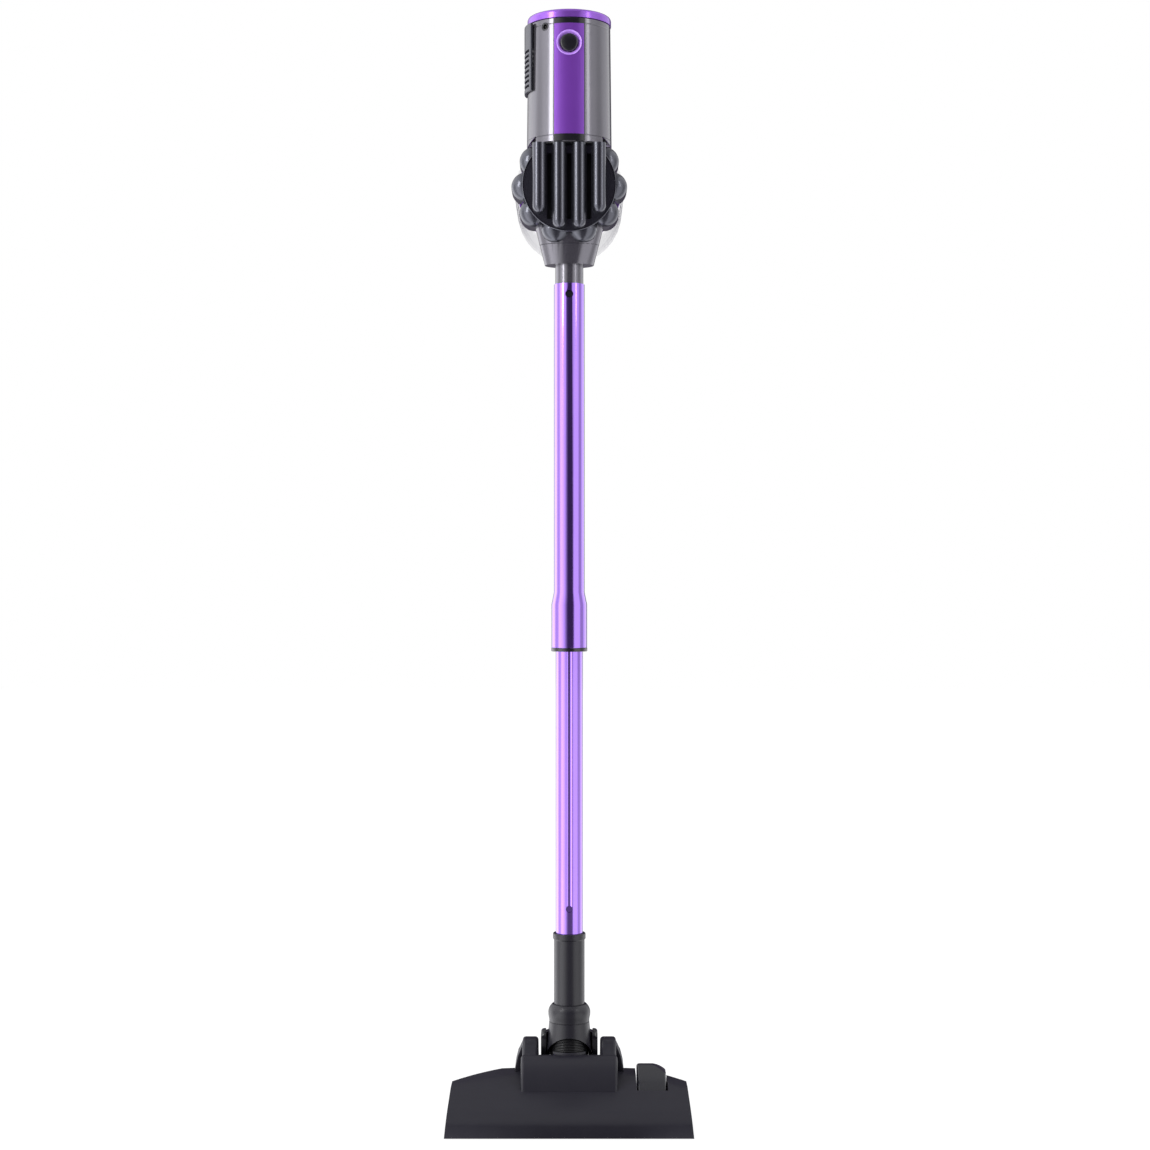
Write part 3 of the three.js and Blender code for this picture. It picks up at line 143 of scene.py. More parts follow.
def slab(name, outline, start, end, axis="X", rounding=1.0):
    """An outline of (along, up) points in mm, carried from start to end on an axis, with its rims rounded."""
    curve = drawn_line(name, outline, True)
    curve.dimensions = "2D"
    curve.fill_mode = "BOTH"
    curve.extrude = (abs(end - start) / 2 - rounding) * MM
    curve.bevel_depth = rounding * MM
    curve.bevel_resolution = 3
    curve.offset = -rounding * MM
    piece = bpy.data.objects.new(name, curve)
    bpy.context.collection.objects.link(piece)
    pick(piece)
    bpy.ops.object.convert(target="MESH")
    piece = bpy.context.object
    piece.rotation_euler = SLAB_TURN[axis]
    piece.location = AXIS_WAY[axis] * (start + end) / 2 * MM
    bpy.ops.object.transform_apply(location=True, rotation=True, scale=True)
    return welded(piece, name)


def swept(name, path, wide, thick):
    """An oval bar along a path of (y, z) points in mm, bent smoothly through them."""
    bpy.ops.object.select_all(action="DESELECT")
    bpy.ops.curve.primitive_bezier_circle_add(radius=0.5)
    section = bpy.context.object
    section.scale = (thick * MM, wide * MM, 1)
    bpy.ops.object.transform_apply(location=True, rotation=True, scale=True)
    section.data.resolution_u = 8
    curve = bpy.data.curves.new(name, "CURVE")
    curve.dimensions = "3D"
    curve.resolution_u = 10
    curve.bevel_mode = "OBJECT"
    curve.bevel_object = section
    curve.use_fill_caps = True
    line = curve.splines.new("BEZIER")
    line.bezier_points.add(len(path) - 1)
    for point, (y, z) in zip(line.bezier_points, path):
        point.co = (0, y * MM, z * MM)
        point.handle_left_type = point.handle_right_type = "AUTO"
    piece = bpy.data.objects.new(name, curve)
    bpy.context.collection.objects.link(piece)
    pick(piece)
    bpy.ops.object.convert(target="MESH")
    piece = bpy.context.object
    bpy.data.objects.remove(section, do_unlink=True)
    return welded(piece, name)


def turned(name, stations, axis="Z", centre=(0, 0, 0), sides=96, wall=False):
    """A piece turned about an axis from [radius, place] stations in mm: a wall, or a solid with flat ends."""
    way = AXIS_WAY[axis]
    base = Vector(centre)
    radius, place = stations[0]
    bpy.ops.object.select_all(action="DESELECT")
    bpy.ops.mesh.primitive_circle_add(
        vertices=sides, radius=radius * MM, location=(base + way * place) * MM, rotation=AXIS_TURN[axis])
    piece = placed(name)
    bpy.ops.object.mode_set(mode="EDIT")
    bpy.ops.mesh.select_all(action="SELECT")
    for next_radius, next_place in stations[1:]:
        step = way * (next_place - place) * MM
        bpy.ops.mesh.extrude_edges_move(TRANSFORM_OT_translate={"value": step})
        grow = next_radius / radius
        stretch = [1 if along else grow for along in way]
        bpy.ops.transform.resize(value=stretch, center_override=(base + way * next_place) * MM)
        radius, place = next_radius, next_place
    bpy.ops.mesh.select_all(action="DESELECT")
    bpy.ops.mesh.select_non_manifold()
    if wall:
        bpy.ops.mesh.bridge_edge_loops()
    else:
        bpy.ops.mesh.fill_holes(sides=0)
    bpy.ops.mesh.select_all(action="SELECT")
    bpy.ops.mesh.normals_make_consistent(inside=False)
    bpy.ops.object.mode_set(mode="OBJECT")
    return piece


def shaped(piece, cutter, operation="DIFFERENCE"):
    """Cuts one piece with another, or keeps what both share, and drops the cutter."""
    pick(piece)
    step = piece.modifiers.new("cut", "BOOLEAN")
    step.operation = operation
    step.solver = "EXACT"
    step.object = cutter
    bpy.ops.object.modifier_apply(modifier=step.name)
    bpy.data.objects.remove(cutter, do_unlink=True)
    return piece


def joined(name, pieces):
    """Makes several shapes one piece."""
    pick(pieces[0])
    for piece in pieces[1:]:
        piece.select_set(True)
    if len(pieces) > 1:
        bpy.ops.object.join()
    pieces[0].name = name
    return pieces[0]


def rounded(piece, width, rings=2, crease=30):
    """Rounds the sharp edges by a width in mm and shades the piece smooth between creases."""
    pick(piece)
    if width:
        rounding = piece.modifiers.new("rounding", "BEVEL")
        rounding.limit_method = "ANGLE"
        rounding.angle_limit = radians(crease)
        rounding.width = width * MM
        rounding.segments = rings
        bpy.ops.object.modifier_apply(modifier=rounding.name)
    bpy.ops.object.shade_smooth_by_angle(angle=radians(crease + 8))
    even = piece.modifiers.new("even", "WEIGHTED_NORMAL")
    even.keep_sharp = True
    bpy.ops.object.modifier_apply(modifier=even.name)
    return piece


def softened(name, node, width=0.4, rings=2, crease=30):
    """A merged copy of a CAD node with its edges rounded as a moulding's are."""
    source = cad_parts[node]
    piece = bpy.data.objects.new(name, source.data.copy())
    bpy.context.collection.objects.link(piece)
    pick(piece)
    bpy.ops.mesh.customdata_custom_splitnormals_clear()
    bpy.ops.object.mode_set(mode="EDIT")
    bpy.ops.mesh.select_all(action="SELECT")
    bpy.ops.mesh.remove_doubles(threshold=WELD)
    bpy.ops.mesh.dissolve_limited(angle_limit=radians(0.6))
    bpy.ops.object.mode_set(mode="OBJECT")
    return rounded(piece, width, rings, crease)


def copied(piece, name, move):
    """A copy of a shape with its own mesh, moved by mm."""
    twin = piece.copy()
    twin.data = piece.data.copy()
    twin.name = name
    bpy.context.collection.objects.link(twin)
    pick(twin)
    twin.location = Vector(move) * MM
    bpy.ops.object.transform_apply(location=True, rotation=False, scale=False)
    return twin


def fitted(piece, finish, body, *nodes, slot=None):
    """Gives a piece its finish and its body, and hides the CAD nodes that it stands for."""
    piece.data.materials.clear()
    piece.data.materials.append(finish)
    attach(piece, body)
    if nodes:
        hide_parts(*nodes)
    return piece


def kept(finish, *nodes):
    """Gives CAD nodes that stay in view their finish."""
    for node in nodes:
        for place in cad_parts[node].material_slots:
            place.link = "OBJECT"
            place.material = finish


# ---------------------------------------------------------------- finishes
def shade(red, green, blue):
    """A screen colour, 0 to 255, as the linear colour a shader takes."""
    def linear(value):
        value /= 255
        return value / 12.92 if value <= 0.04045 else ((value + 0.055) / 1.055) ** 2.4
    return (linear(red), linear(green), linear(blue), 1)


def scaled(colour, factor):
    return tuple(min(part * factor, 1) for part in colour[:3]) + (1,)


class Value:
    """A node's output that takes part in sums, each of which adds a Math node."""

    def __init__(self, finish, socket):
        self.finish = finish
        self.socket = socket

    def math(self, operation, first, second):
        return self.finish.node("ShaderNodeMath", {"operation": operation}, {0: first, 1: second})

    def __add__(self, other):
        return self.math("ADD", self, other)

    __radd__ = __add__

    def __sub__(self, other):
        return self.math("SUBTRACT", self, other)

    def __rsub__(self, other):
        return self.math("SUBTRACT", other, self)

    def __mul__(self, other):
        return self.math("MULTIPLY", self, other)

    __rmul__ = __mul__

    def __pow__(self, other):
        return self.math("POWER", self, other)

    def __abs__(self):
        return self.math("ABSOLUTE", self, 0)


class Finish:
    """A material on one Principled shader, whose even values are set on its own sockets."""

    def __init__(self, name, constants):
        self.material = bpy.data.materials.new(name)
        self.material.use_nodes = True
        self.tree = self.material.node_tree
        self.shader = self.tree.nodes["Principled BSDF"]
        for socket, value in constants.items():
            self.shader.inputs[socket].default_value = value

    def node(self, kind, settings, inputs, output=0):
        """Adds a node with its settings and inputs, and returns one of its outputs."""
        node = self.tree.nodes.new(kind)
        for setting, value in settings.items():
            setattr(node, setting, value)
        for socket, value in inputs.items():
            self.feed(node.inputs[socket], value)
        return Value(self, node.outputs[output])

    def feed(self, socket, value):
        if isinstance(value, Value):
            self.tree.links.new(value.socket, socket)
        else:
            socket.default_value = value

    def surface(self, name, value):
        self.feed(self.shader.inputs[name], value)

    def place(self):
        return self.node("ShaderNodeTexCoord", {}, {}, "Object")

    def axes(self):
        """The x, y and z of a point on the object, in metres."""
        split = self.tree.nodes.new("ShaderNodeSeparateXYZ")
        self.feed(split.inputs[0], self.place())
        return [Value(self, output) for output in split.outputs]

    def noise(self, scale, stretch=(1, 1, 1), detail=2.0, roughness=0.5):
        """Smooth noise from 0 to 1 with about scale features to the metre."""
        where = self.node("ShaderNodeMapping", {}, {"Vector": self.place(), "Scale": stretch})
        return self.node("ShaderNodeTexNoise", {}, {
            "Vector": where, "Scale": scale, "Detail": detail, "Roughness": roughness})

    def mix(self, factor, first, second):
        return self.node("ShaderNodeMix", {"data_type": "RGBA"}, {0: factor, 6: first, 7: second}, 2)

    def bump(self, height, distance, strength=1.0):
        """Relief from a height of 0 to 1 that stands for a distance in mm."""
        self.surface("Normal", self.node("ShaderNodeBump", {}, {
            "Height": height, "Distance": distance * MM, "Strength": strength}))


def moulded(name, colour, roughness, grain=0.02, pitch=1400, coat=0.0, metallic=0.0, vary=0.1, slots=None):
    """Moulded plastic: a faintly cloudy colour, a fine grain in the surface and small rubbed patches."""
    finish = Finish(name, {
        "Metallic": metallic, "Coat Weight": coat, "Coat Roughness": 0.08, **(slots or {})})
    cloud = finish.noise(28, detail=3.0)
    grain_noise = finish.noise(pitch, detail=3.0, roughness=0.6)
    rubbed = finish.noise(95, detail=4.0, roughness=0.62)
    finish.surface("Base Color", finish.mix(
        cloud * 0.7 + grain_noise * 0.3, scaled(colour, 1 - vary), scaled(colour, 1 + vary)))
    finish.surface("Roughness", roughness * 0.86 + rubbed * (roughness * 0.28))
    finish.bump(grain_noise, grain)
    return finish.material


def anodised(name, colour, roughness, coat):
    """Anodised aluminium drawn along its length, under a clear lacquer."""
    finish = Finish(name, {"Metallic": 1.0, "Coat Weight": coat, "Coat Roughness": 0.06, "Coat IOR": 2.0})
    drawn = finish.noise(1.0, stretch=(1500, 1500, 14), detail=3.0)
    cloud = finish.noise(16, detail=2.0)
    finish.surface("Base Color", finish.mix(
        drawn * 0.5 + cloud * 0.5, scaled(colour, 0.86), scaled(colour, 1.12)))
    finish.surface("Roughness", roughness * 0.8 + drawn * (roughness * 0.4))
    finish.bump(drawn, 0.004)
    return finish.material


def metal(name, colour, roughness, pitch=500):
    """Bare or plated metal with fine tool marks round it."""
    finish = Finish(name, {"Metallic": 1.0})
    marks = finish.noise(1.0, stretch=(pitch, pitch, pitch * 3), detail=3.0)
    cloud = finish.noise(60, detail=3.0)
    finish.surface("Base Color", finish.mix(cloud, scaled(colour, 0.82), scaled(colour, 1.1)))
    finish.surface("Roughness", roughness * 0.7 + marks * (roughness * 0.6))
    finish.bump(marks, 0.006)
    return finish.material


def rubbery(name, colour):
    finish = Finish(name, {"Sheen Weight": 0.15, "Sheen Roughness": 0.5, "Specular IOR Level": 0.35})
    grain = finish.noise(2200, detail=3.0)
    dust = finish.noise(120, detail=5.0, roughness=0.65)
    finish.surface("Base Color", finish.mix(dust, scaled(colour, 0.8), scaled(colour, 1.5)))
    finish.surface("Roughness", 0.62 + dust * 0.2)
    finish.bump(grain, 0.03)
    return finish.material


def clear_plastic(name, tint, see_through):
    """Clear moulded plastic: thin to look through, thicker towards its edges."""
    finish = Finish(name, {"IOR": 1.5, "Coat Weight": 0.5, "Coat Roughness": 0.03})
    edge = finish.node("ShaderNodeLayerWeight", {}, {"Blend": 0.35}, 1)
    haze = finish.noise(40, detail=4.0)
    finish.surface("Base Color", finish.mix(haze, scaled(tint, 0.85), tint))
    finish.surface("Roughness", 0.05 + haze * 0.06)
    finish.surface("Alpha", (1 - see_through) + (edge ** 10) * 0.85)
    finish.material.surface_render_method = "BLENDED"
    return finish.material


def foam_cells(name, colour):
    finish = Finish(name, {"Sheen Weight": 0.3, "Specular IOR Level": 0.2})
    cells = finish.node("ShaderNodeTexVoronoi", {}, {"Vector": finish.place(), "Scale": 900.0})
    finish.surface("Base Color", finish.mix(cells, scaled(colour, 0.55), colour))
    finish.surface("Roughness", 0.85 + cells * 0.1)
    finish.bump(cells, 0.3)
    return finish.material


def circuit_board(name, colour):
    """Solder mask with copper tracks showing through on a grid."""
    finish = Finish(name, {"Coat Weight": 0.3})
    tracks = finish.node("ShaderNodeTexBrick", {}, {
        "Vector": finish.place(), "Scale": 160.0, "Mortar Size": 0.03}, 1)
    finish.surface("Base Color", finish.mix(tracks, colour, scaled(colour, 2.2)))
    finish.surface("Roughness", 0.35 + tracks * 0.2)
    finish.bump(tracks, 0.05)
    return finish.material


PURPLE_TUBE = anodised("purple_anodised_tube", shade(150, 96, 222), 0.15, 1.0)
PURPLE_STRIPE = moulded(
    "purple_satin_stripe", shade(118, 62, 168), 0.34, grain=0.006, metallic=0.45, coat=0.2)
DISH_LILAC = moulded("dish_lilac", shade(190, 140, 244), 0.3, grain=0.004, coat=0.3)
PURPLE_RING = moulded("purple_top_ring", shade(140, 84, 196), 0.22, grain=0.004, metallic=0.6, coat=0.4)
HOUSING_GREY = moulded("pearl_grey_housing", shade(104, 102, 109), 0.2, grain=0.004, metallic=0.75, coat=0.5)
CHARCOAL_GLOSS = moulded("charcoal_gloss", shade(78, 79, 87), 0.24, grain=0.004, metallic=0.85, coat=0.4)
PEDAL_GLOSS = moulded("pedal_gloss", shade(26, 26, 32), 0.18, grain=0.004, coat=0.4)
CHARCOAL_SATIN = moulded(
    "charcoal_satin", shade(31, 30, 38), 0.42, grain=0.03, vary=0.08, slots={"Specular IOR Level": 0.38})
NECK_SATIN = moulded(
    "neck_satin", shade(28, 27, 34), 0.36, grain=0.012, coat=0.1, slots={"Specular IOR Level": 0.42})
BLACK_GLOSS = moulded("black_gloss", shade(22, 22, 26), 0.2, grain=0.004, coat=0.4)
HOSE_BLACK = moulded("hose_black", shade(18, 18, 20), 0.28, grain=0.01, coat=0.3)
# painted shade: the dark blue-grey of the sheet that stands for the shaded vent channel recess
RECESS_SHADE = moulded("recess_painted_shade", shade(66, 68, 84), 0.36, grain=0.006)
GRILLE_GREY = moulded("grille_grey", shade(62, 63, 71), 0.3, grain=0.006, metallic=0.5, coat=0.2)
HANDLE_GREY = moulded("handle_charcoal", shade(44, 43, 50), 0.36, grain=0.02)
CLEAR_BIN = clear_plastic("clear_bin", shade(128, 124, 146), 0.95)
RUBBER = rubbery("black_rubber", shade(34, 34, 36))
GRIP_RUBBER = rubbery("grip_rubber", shade(44, 43, 48))
BRISTLE = rubbery("bristle_fibre", shade(52, 50, 58))
STEEL = metal("turned_steel", shade(190, 192, 196), 0.3)
FAN_METAL = metal("fan_aluminium", shade(204, 206, 210), 0.28)
COPPER = metal("motor_can", shade(168, 152, 132), 0.34)
BOARD = circuit_board("green_board", shade(24, 88, 52))
CELL = moulded("cell_wrap", shade(70, 132, 186), 0.32, grain=0.006, coat=0.3)
FOAM = foam_cells("filter_foam", shade(40, 40, 44))
DARK_INSIDE = moulded("inside_dark", shade(30, 30, 34), 0.5, grain=0.02)

# ---------------------------------------------------------------- floor head
HEAD_HALF, HEAD_FRONT, HEAD_BACK, HEAD_END_BACK = 126, -89, 27, -18
HEAD_TOP, HEAD_ARCH, HEAD_TAPER = 50.5, 10, 4


def head_form(inset, foot):
    """The head's outer form, or the room inside it: its side, plan and front outlines crossed."""
    top, front, back, half = HEAD_TOP - inset, HEAD_FRONT + inset, HEAD_BACK - inset, HEAD_HALF - inset
    side = [(front, foot)] + bent((front + 1.4, 9), (front + 3, 18 - inset), (front + 15, 25.5 - inset))
    side += bent((front + 15, 25.5 - inset), (-34, top - 6.5), (-2, top), steps=12)
    side += bent((-2, top), (16, top), (back, top - 14)) + [(back, foot)]
    rise = HEAD_BACK - HEAD_END_BACK
    radius = (half * half + rise * rise) / (2 * rise)
    sweep = [half * (1 - step / 16) for step in range(33)]
    plan = [(-half, front), (half, front)]
    plan += [(x, back - radius + (radius * radius - x * x) ** 0.5) for x in sweep]
    shoulder, eave = half - HEAD_TAPER, top - HEAD_ARCH
    arch = bent((shoulder, eave), (0, top + HEAD_ARCH), (-shoulder, eave), steps=24)
    face = [(-half, foot), (half, foot), (shoulder, eave)] + arch
    form = slab("head_form", side, -half, half, "X", 0.01)
    shaped(form, slab("plan", plan, foot, 60, "Z", 0.01), "INTERSECT")
    return shaped(form, slab("face", face, front - 5, back + 5, "Y", 0.01), "INTERSECT")


head = shaped(head_form(0, 0.8), head_form(2.5, -1))
hump_low, hump_high = node_box("hump")
pedal_low, pedal_high = node_box("brush_pedal")
shaped(head, block("pedal_pocket", (pedal_low.x - 1, pedal_low.y - 1, 12), (pedal_high.x + 1, 60, 90)))
shaped(head, block("hood_room", (-50.3, hump_low.y - 0.3, -1), (50.3, 60, 90)))
shaped(head, block("flare_room", (hump_low.x - 0.3, -6.3, -1), (hump_high.x + 0.3, 60, 90)))
pocket_wall = block("pocket_wall", (pedal_low.x - 3.4, -20, 18.5), (pedal_high.x + 3.4, -8, 33))
shaped(pocket_wall, block("pedal_gap", (pedal_low.x - 0.6, -30, 0), (pedal_high.x + 0.6, 10, 60)))
head = joined("head_cover", [rounded(head, 0.9, 3, 28), rounded(pocket_wall, 0.4)])
fitted(head, CHARCOAL_SATIN, "floor_head", "head_shell")

low, high = node_box("hump")
HOOD_HALF, CHEEK_IN, CHEEK_OUT = 50, 32.4, 49
well_front = -20.8
HOOD_TOP = 69.5
hood_side = [(-50, low.z), (-50, 30), (-38, 56)]
hood_side += bent((-38, 56), (-33, 68), (-24.6, HOOD_TOP))
hood_side += [(well_front, HOOD_TOP), (well_front, low.z)]
hood = slab("hood", hood_side, -HOOD_HALF, HOOD_HALF, rounding=3.2)
lip = turned("hose_lip", [
    [21.6, low.z], [25.4, low.z], [25.4, HOOD_TOP], [24.2, HOOD_TOP + 2.4], [22.8, HOOD_TOP + 2.4],
    [21.6, HOOD_TOP + 1]], wall=True)
shaped(lip, block("lip_span", (-17, -40, -1), (17, -15.5, 90)), "INTERSECT")
cheek_side = [(-22, low.z), (-22, HOOD_TOP)]
cheek_side += bent((-22, HOOD_TOP), (-13, HOOD_TOP + 2), (-9, high.z - 3))
cheek_side += bent((-9, high.z - 3), (-8, high.z), (-4, high.z), steps=4)
cheek_side += [(9, high.z)] + bent((9, high.z), (17, high.z - 1), (23, high.z - 14))
cheek_side += bent((23, high.z - 14), (50, 52), (high.y, 24))
cheek_side += [(high.y, low.z + 6), (high.y - 8, low.z)]
hump_parts = [hood, rounded(lip, 0.5, 3)]
for hand in (-1, 1):
    cheek = slab("cheek", cheek_side, hand * CHEEK_IN, hand * CHEEK_OUT, rounding=3.4)
    flare = slab("flare", cheek_side, hand * (CHEEK_OUT - 4), hand * high.x, rounding=1.6)
    slope = [(hand * 30, -1), (hand * high.x, -1), (hand * high.x, 50.5), (hand * (high.x - 3), 64.5),
             (hand * (CHEEK_OUT - 1), high.z - 3), (hand * 30, high.z - 3)]
    shaped(flare, slab("slope", slope, -6, 90, "Y", 0.6), "INTERSECT")
    for part in (cheek, flare):
        shaped(part, block("well", (hand * 44.5 - 8, 22, -1), (hand * 44.5 + 8, 90, 31)))
        hump_parts.append(part)
hump = rounded(joined("hump_moulding", hump_parts), 0, crease=26)
fitted(hump, CHARCOAL_SATIN, "floor_head", "hump")

fitted(softened("sole", "sole_plate", 0.5), BLACK_GLOSS, "floor_head", "sole_plate")
fitted(softened("duct", "air_duct", 0.6), BLACK_GLOSS, "floor_head", "air_duct")

low, high = node_box("brush_pedal")
pedal_middle = (low.x + high.x) / 2
pedal_side = [(low.y, 24), (low.y, 31.5)] + bent((low.y, 31.5), (-38, 39), (-28, 45.5))
pedal_side += bent((-28, 45.5), (-14, 52.5), (-6, 55)) + bent((-6, 55), (3, 57.4), (high.y, 52.5), steps=5)
pedal_side += [(high.y, 32), (-9, low.z), (-19, low.z)]
pedal = slab("pedal_cap", pedal_side, low.x, high.x, rounding=2.6)
PEDAL_ARCH = 34
crown = rod("crown", PEDAL_ARCH, -60, 20, "Y", (pedal_middle - 6, 0, high.z - PEDAL_ARCH), 128)
shaped(pedal, crown, "INTERSECT")
fitted(rounded(pedal, 0.5, 2, 24), PEDAL_GLOSS, "pedal", "brush_pedal")

fitted(softened("brush_frame", "brush_carrier", 0.4), CHARCOAL_SATIN, "brushes", "brush_carrier")
kept(STEEL, "pedal_pin", "hinge_pin_left", "hinge_pin_right")
TUFTS, TUFT_R = 72, 1.2
for place in ("front", "rear"):
    low, high = node_box(f"bristle_{place}")
    tuft = turned("tuft", [[1.15, high.z], [1.0, 6], [0.95, 3], [TUFT_R, low.z]], "Z",
                  (low.x + TUFT_R, (low.y + high.y) / 2, 0), 8)
    tufts = [tuft]
    span = high.x - low.x - 2 * TUFT_R
    for step in range(1, TUFTS):
        tufts.append(copied(tuft, f"tuft_{step}", (span * step / (TUFTS - 1), 0, 0)))
    tufts.append(block("back", (low.x, low.y, 7.6), (high.x, high.y, high.z)))
    fitted(rounded(joined(f"bristle_row_{place}", tufts), 0), BRISTLE, "brushes", f"bristle_{place}")

for side in ("left", "right"):
    low, high = node_box(f"wheel_{side}")
    middle = (low + high) / 2
    radius, half = (high.z - low.z) / 2, 6.5
    stub = (high.x - low.x) / 2
    wheel = turned(f"wheel_tread_{side}", [
        [2.5, -stub], [2.5, -half], [9.5, -half], [9.8, -half + 0.8], [11, -half + 0.8], [11.3, -half],
        [radius - 1.4, -half], [radius - 0.3, -half + 1], [radius, -half + 2.4], [radius, -0.9],
        [radius - 0.8, -0.6], [radius - 0.8, 0.6], [radius, 0.9], [radius, half - 2.4],
        [radius - 0.3, half - 1], [radius - 1.4, half], [11.3, half], [11, half - 0.8], [9.8, half - 0.8],
        [9.5, half], [2.5, half], [2.5, stub],
    ], "X", middle, 64)
    fitted(rounded(wheel, 0.2), RUBBER, f"{side}_wheel", f"wheel_{side}")

# ---------------------------------------------------------------- neck
low, high = node_box("hose")
hose_radius = high.x
rings = round((high.z - low.z) / 1.7)
pitch = (high.z - low.z) / rings
hose_line = [[hose_radius - 2.2, low.z], [hose_radius - 0.8, low.z]]
for ring in range(rings):
    foot = low.z + ring * pitch
    hose_line += [[hose_radius - 0.15, foot + pitch * 0.3], [hose_radius, foot + pitch * 0.5],
                  [hose_radius - 0.15, foot + pitch * 0.7], [hose_radius - 0.8, foot + pitch]]
hose_line.append([hose_radius - 2.2, high.z])
hose = rounded(turned("hose_sleeve", hose_line, sides=72, wall=True), 0, crease=60)
hose.data.materials.clear()
hose.data.materials.append(HOSE_BLACK)
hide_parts("hose")
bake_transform(hose)

collar_line = [
    [20.5, 64], [23.3, 64], [23.6, 64.4], [23.6, 70], [22.9, 78], [22.25, 86], [21.6, 94], [21.1, 99],
    [21.0, 99.9],
    [20.5, 100.2], [20.5, 100.5], [20.9, 100.8], [21.0, 102.6], [21.4, 104.8], [21.85, 107], [22.0, 109.4],
    [21.9, 111.6], [21.4, 113.4], [20.6, 115.2], [19.5, 116.8], [18.3, 118.2], [17.6, 118.7], [16.3, 118.7],
    [16.3, 95.6], [20.5, 93.6],
]
collar = turned("neck_collar", collar_line, wall=True)
shaped(collar, rod("arch_cut", 24, -60, 0, "Y", (0, 0, 62.5)))
fitted(rounded(collar, 0.35), NECK_SATIN, "neck", "collar")
yoke_low, yoke_high = node_box("yoke")
ear_edge = bent((yoke_high.x, yoke_high.z - 6), (yoke_high.x, yoke_high.z), (yoke_high.x - 6, yoke_high.z))
ear_line = [(yoke_high.x, yoke_low.z)] + ear_edge + [(-x, z) for x, z in reversed(ear_edge)]
ear_line.append((-yoke_high.x, yoke_low.z))
hinge_yoke = softened("hinge_yoke", "yoke", 1.0, 3)
shaped(hinge_yoke, slab("ear_line", ear_line, -60, 60, "Y", 0.01), "INTERSECT")
fitted(hinge_yoke, BLACK_GLOSS, "neck", "yoke")
apron = turned("hose_apron", [[24.2, 61.5], [29, 61.5], [29, 70], [24.2, 70]], wall=True)
shaped(apron, block("apron_front", (-40, -40, 50), (40, 7, 80)))
fitted(rounded(apron, 0.5), BLACK_GLOSS, "neck", slot="black_gloss")

low, high = node_box("neck_tube")
rim_foot = high.z - 6
neck_tube = turned("neck_sleeve", [
    [12.2, low.z], [16, low.z], [16, rim_foot - 1], [17.1, rim_foot], [17.1, high.z - 0.8], [16.3, high.z],
    [14.5, high.z], [14.5, 129.7], [12.2, 129.7],
], wall=True)
fitted(rounded(neck_tube, 0.35), NECK_SATIN, "lower_wand", "neck_tube")

# ---------------------------------------------------------------- wand
low, high = node_box("lower_tube")
LOWER_R = high.x
lower_tube = turned("lower_wand_tube", [
    [11.6, low.z], [LOWER_R, low.z], [LOWER_R, high.z], [11.6, high.z]], wall=True)
GROOVE_R, GROOVE_FLOOR, GROOVE_FOOT, GROOVE_END_R = 4.6, LOWER_R - 1.6, 216, 3.5
groove_middle = (0, -GROOVE_FLOOR - GROOVE_R, 0)
groove = rod("key_groove", GROOVE_R, GROOVE_FOOT + GROOVE_R, EVERYWHERE * 2, "Z", groove_middle, 48)
groove_end = rod("groove_end", GROOVE_END_R, -40, -GROOVE_FLOOR, "Y", (0, 0, GROOVE_FOOT + GROOVE_END_R), 48)
shaped(lower_tube, groove)
shaped(lower_tube, groove_end)
LOCK_Z, NOTCHES, NOTCH_PITCH = 516, 10, 26
for step in range(NOTCHES):
    z = LOCK_Z - NOTCH_PITCH * step
    shaped(lower_tube, block("lock_notch", (-2.5, 10, z - 3), (2.5, 20, z + 3)))
fitted(rounded(lower_tube, 0.3), PURPLE_TUBE, "lower_wand", "lower_tube")

fitted(softened("upper_wand_tube", "upper_tube", 0.3), PURPLE_TUBE, "upper_wand", "upper_tube")
low, high = node_box("sleeve_ring")
sleeve_ring = turned("sleeve_end_ring", [
    [14.5, low.z], [high.x - 0.5, low.z], [high.x, low.z + 0.5], [high.x, high.z], [14.5, high.z]], wall=True)
fitted(rounded(sleeve_ring, 0.2), BLACK_GLOSS, "upper_wand", "sleeve_ring")
fitted(softened("lock_guide", "lock_bush", 0.4), CHARCOAL_SATIN, "upper_wand", "lock_bush")
fitted(softened("lock_key", "lock_button", 0.6, 3), CHARCOAL_GLOSS, "wand_lock", "lock_button")
fitted(softened("catch_button", "wand_button", 0.5, 3), BLACK_GLOSS, "snap_button", "wand_button")
fitted(softened("wand_spigot", "spigot", 0.3), HOUSING_GREY, "hand_unit", "spigot")
fitted(softened("inlet_horn", "inlet_cone", 0.5), HOUSING_GREY, "hand_unit", "inlet_cone")
HORN_SEAM, SEAM_WIDE, SEAM_DEEP, SEAM_Y = 913, 30.95, 17.95, -1.7
seam = turned("horn_joint", [
    [SEAM_WIDE - 1.5, HORN_SEAM], [SEAM_WIDE - 0.05, HORN_SEAM], [SEAM_WIDE + 0.1, HORN_SEAM + 0.2],
    [SEAM_WIDE + 0.15, HORN_SEAM + 0.55], [SEAM_WIDE - 1.5, HORN_SEAM + 0.55]], "Z", (0, 0, 0), 96, wall=True)
bpy.ops.object.mode_set(mode="EDIT")
bpy.ops.mesh.select_all(action="SELECT")
bpy.ops.transform.resize(value=(1, SEAM_DEEP / SEAM_WIDE, 1), center_override=(0, 0, HORN_SEAM * MM))
bpy.ops.transform.translate(value=(0, SEAM_Y * MM, 0))
bpy.ops.object.mode_set(mode="OBJECT")
fitted(rounded(seam, 0), CHARCOAL_SATIN, "hand_unit", slot="charcoal_satin")

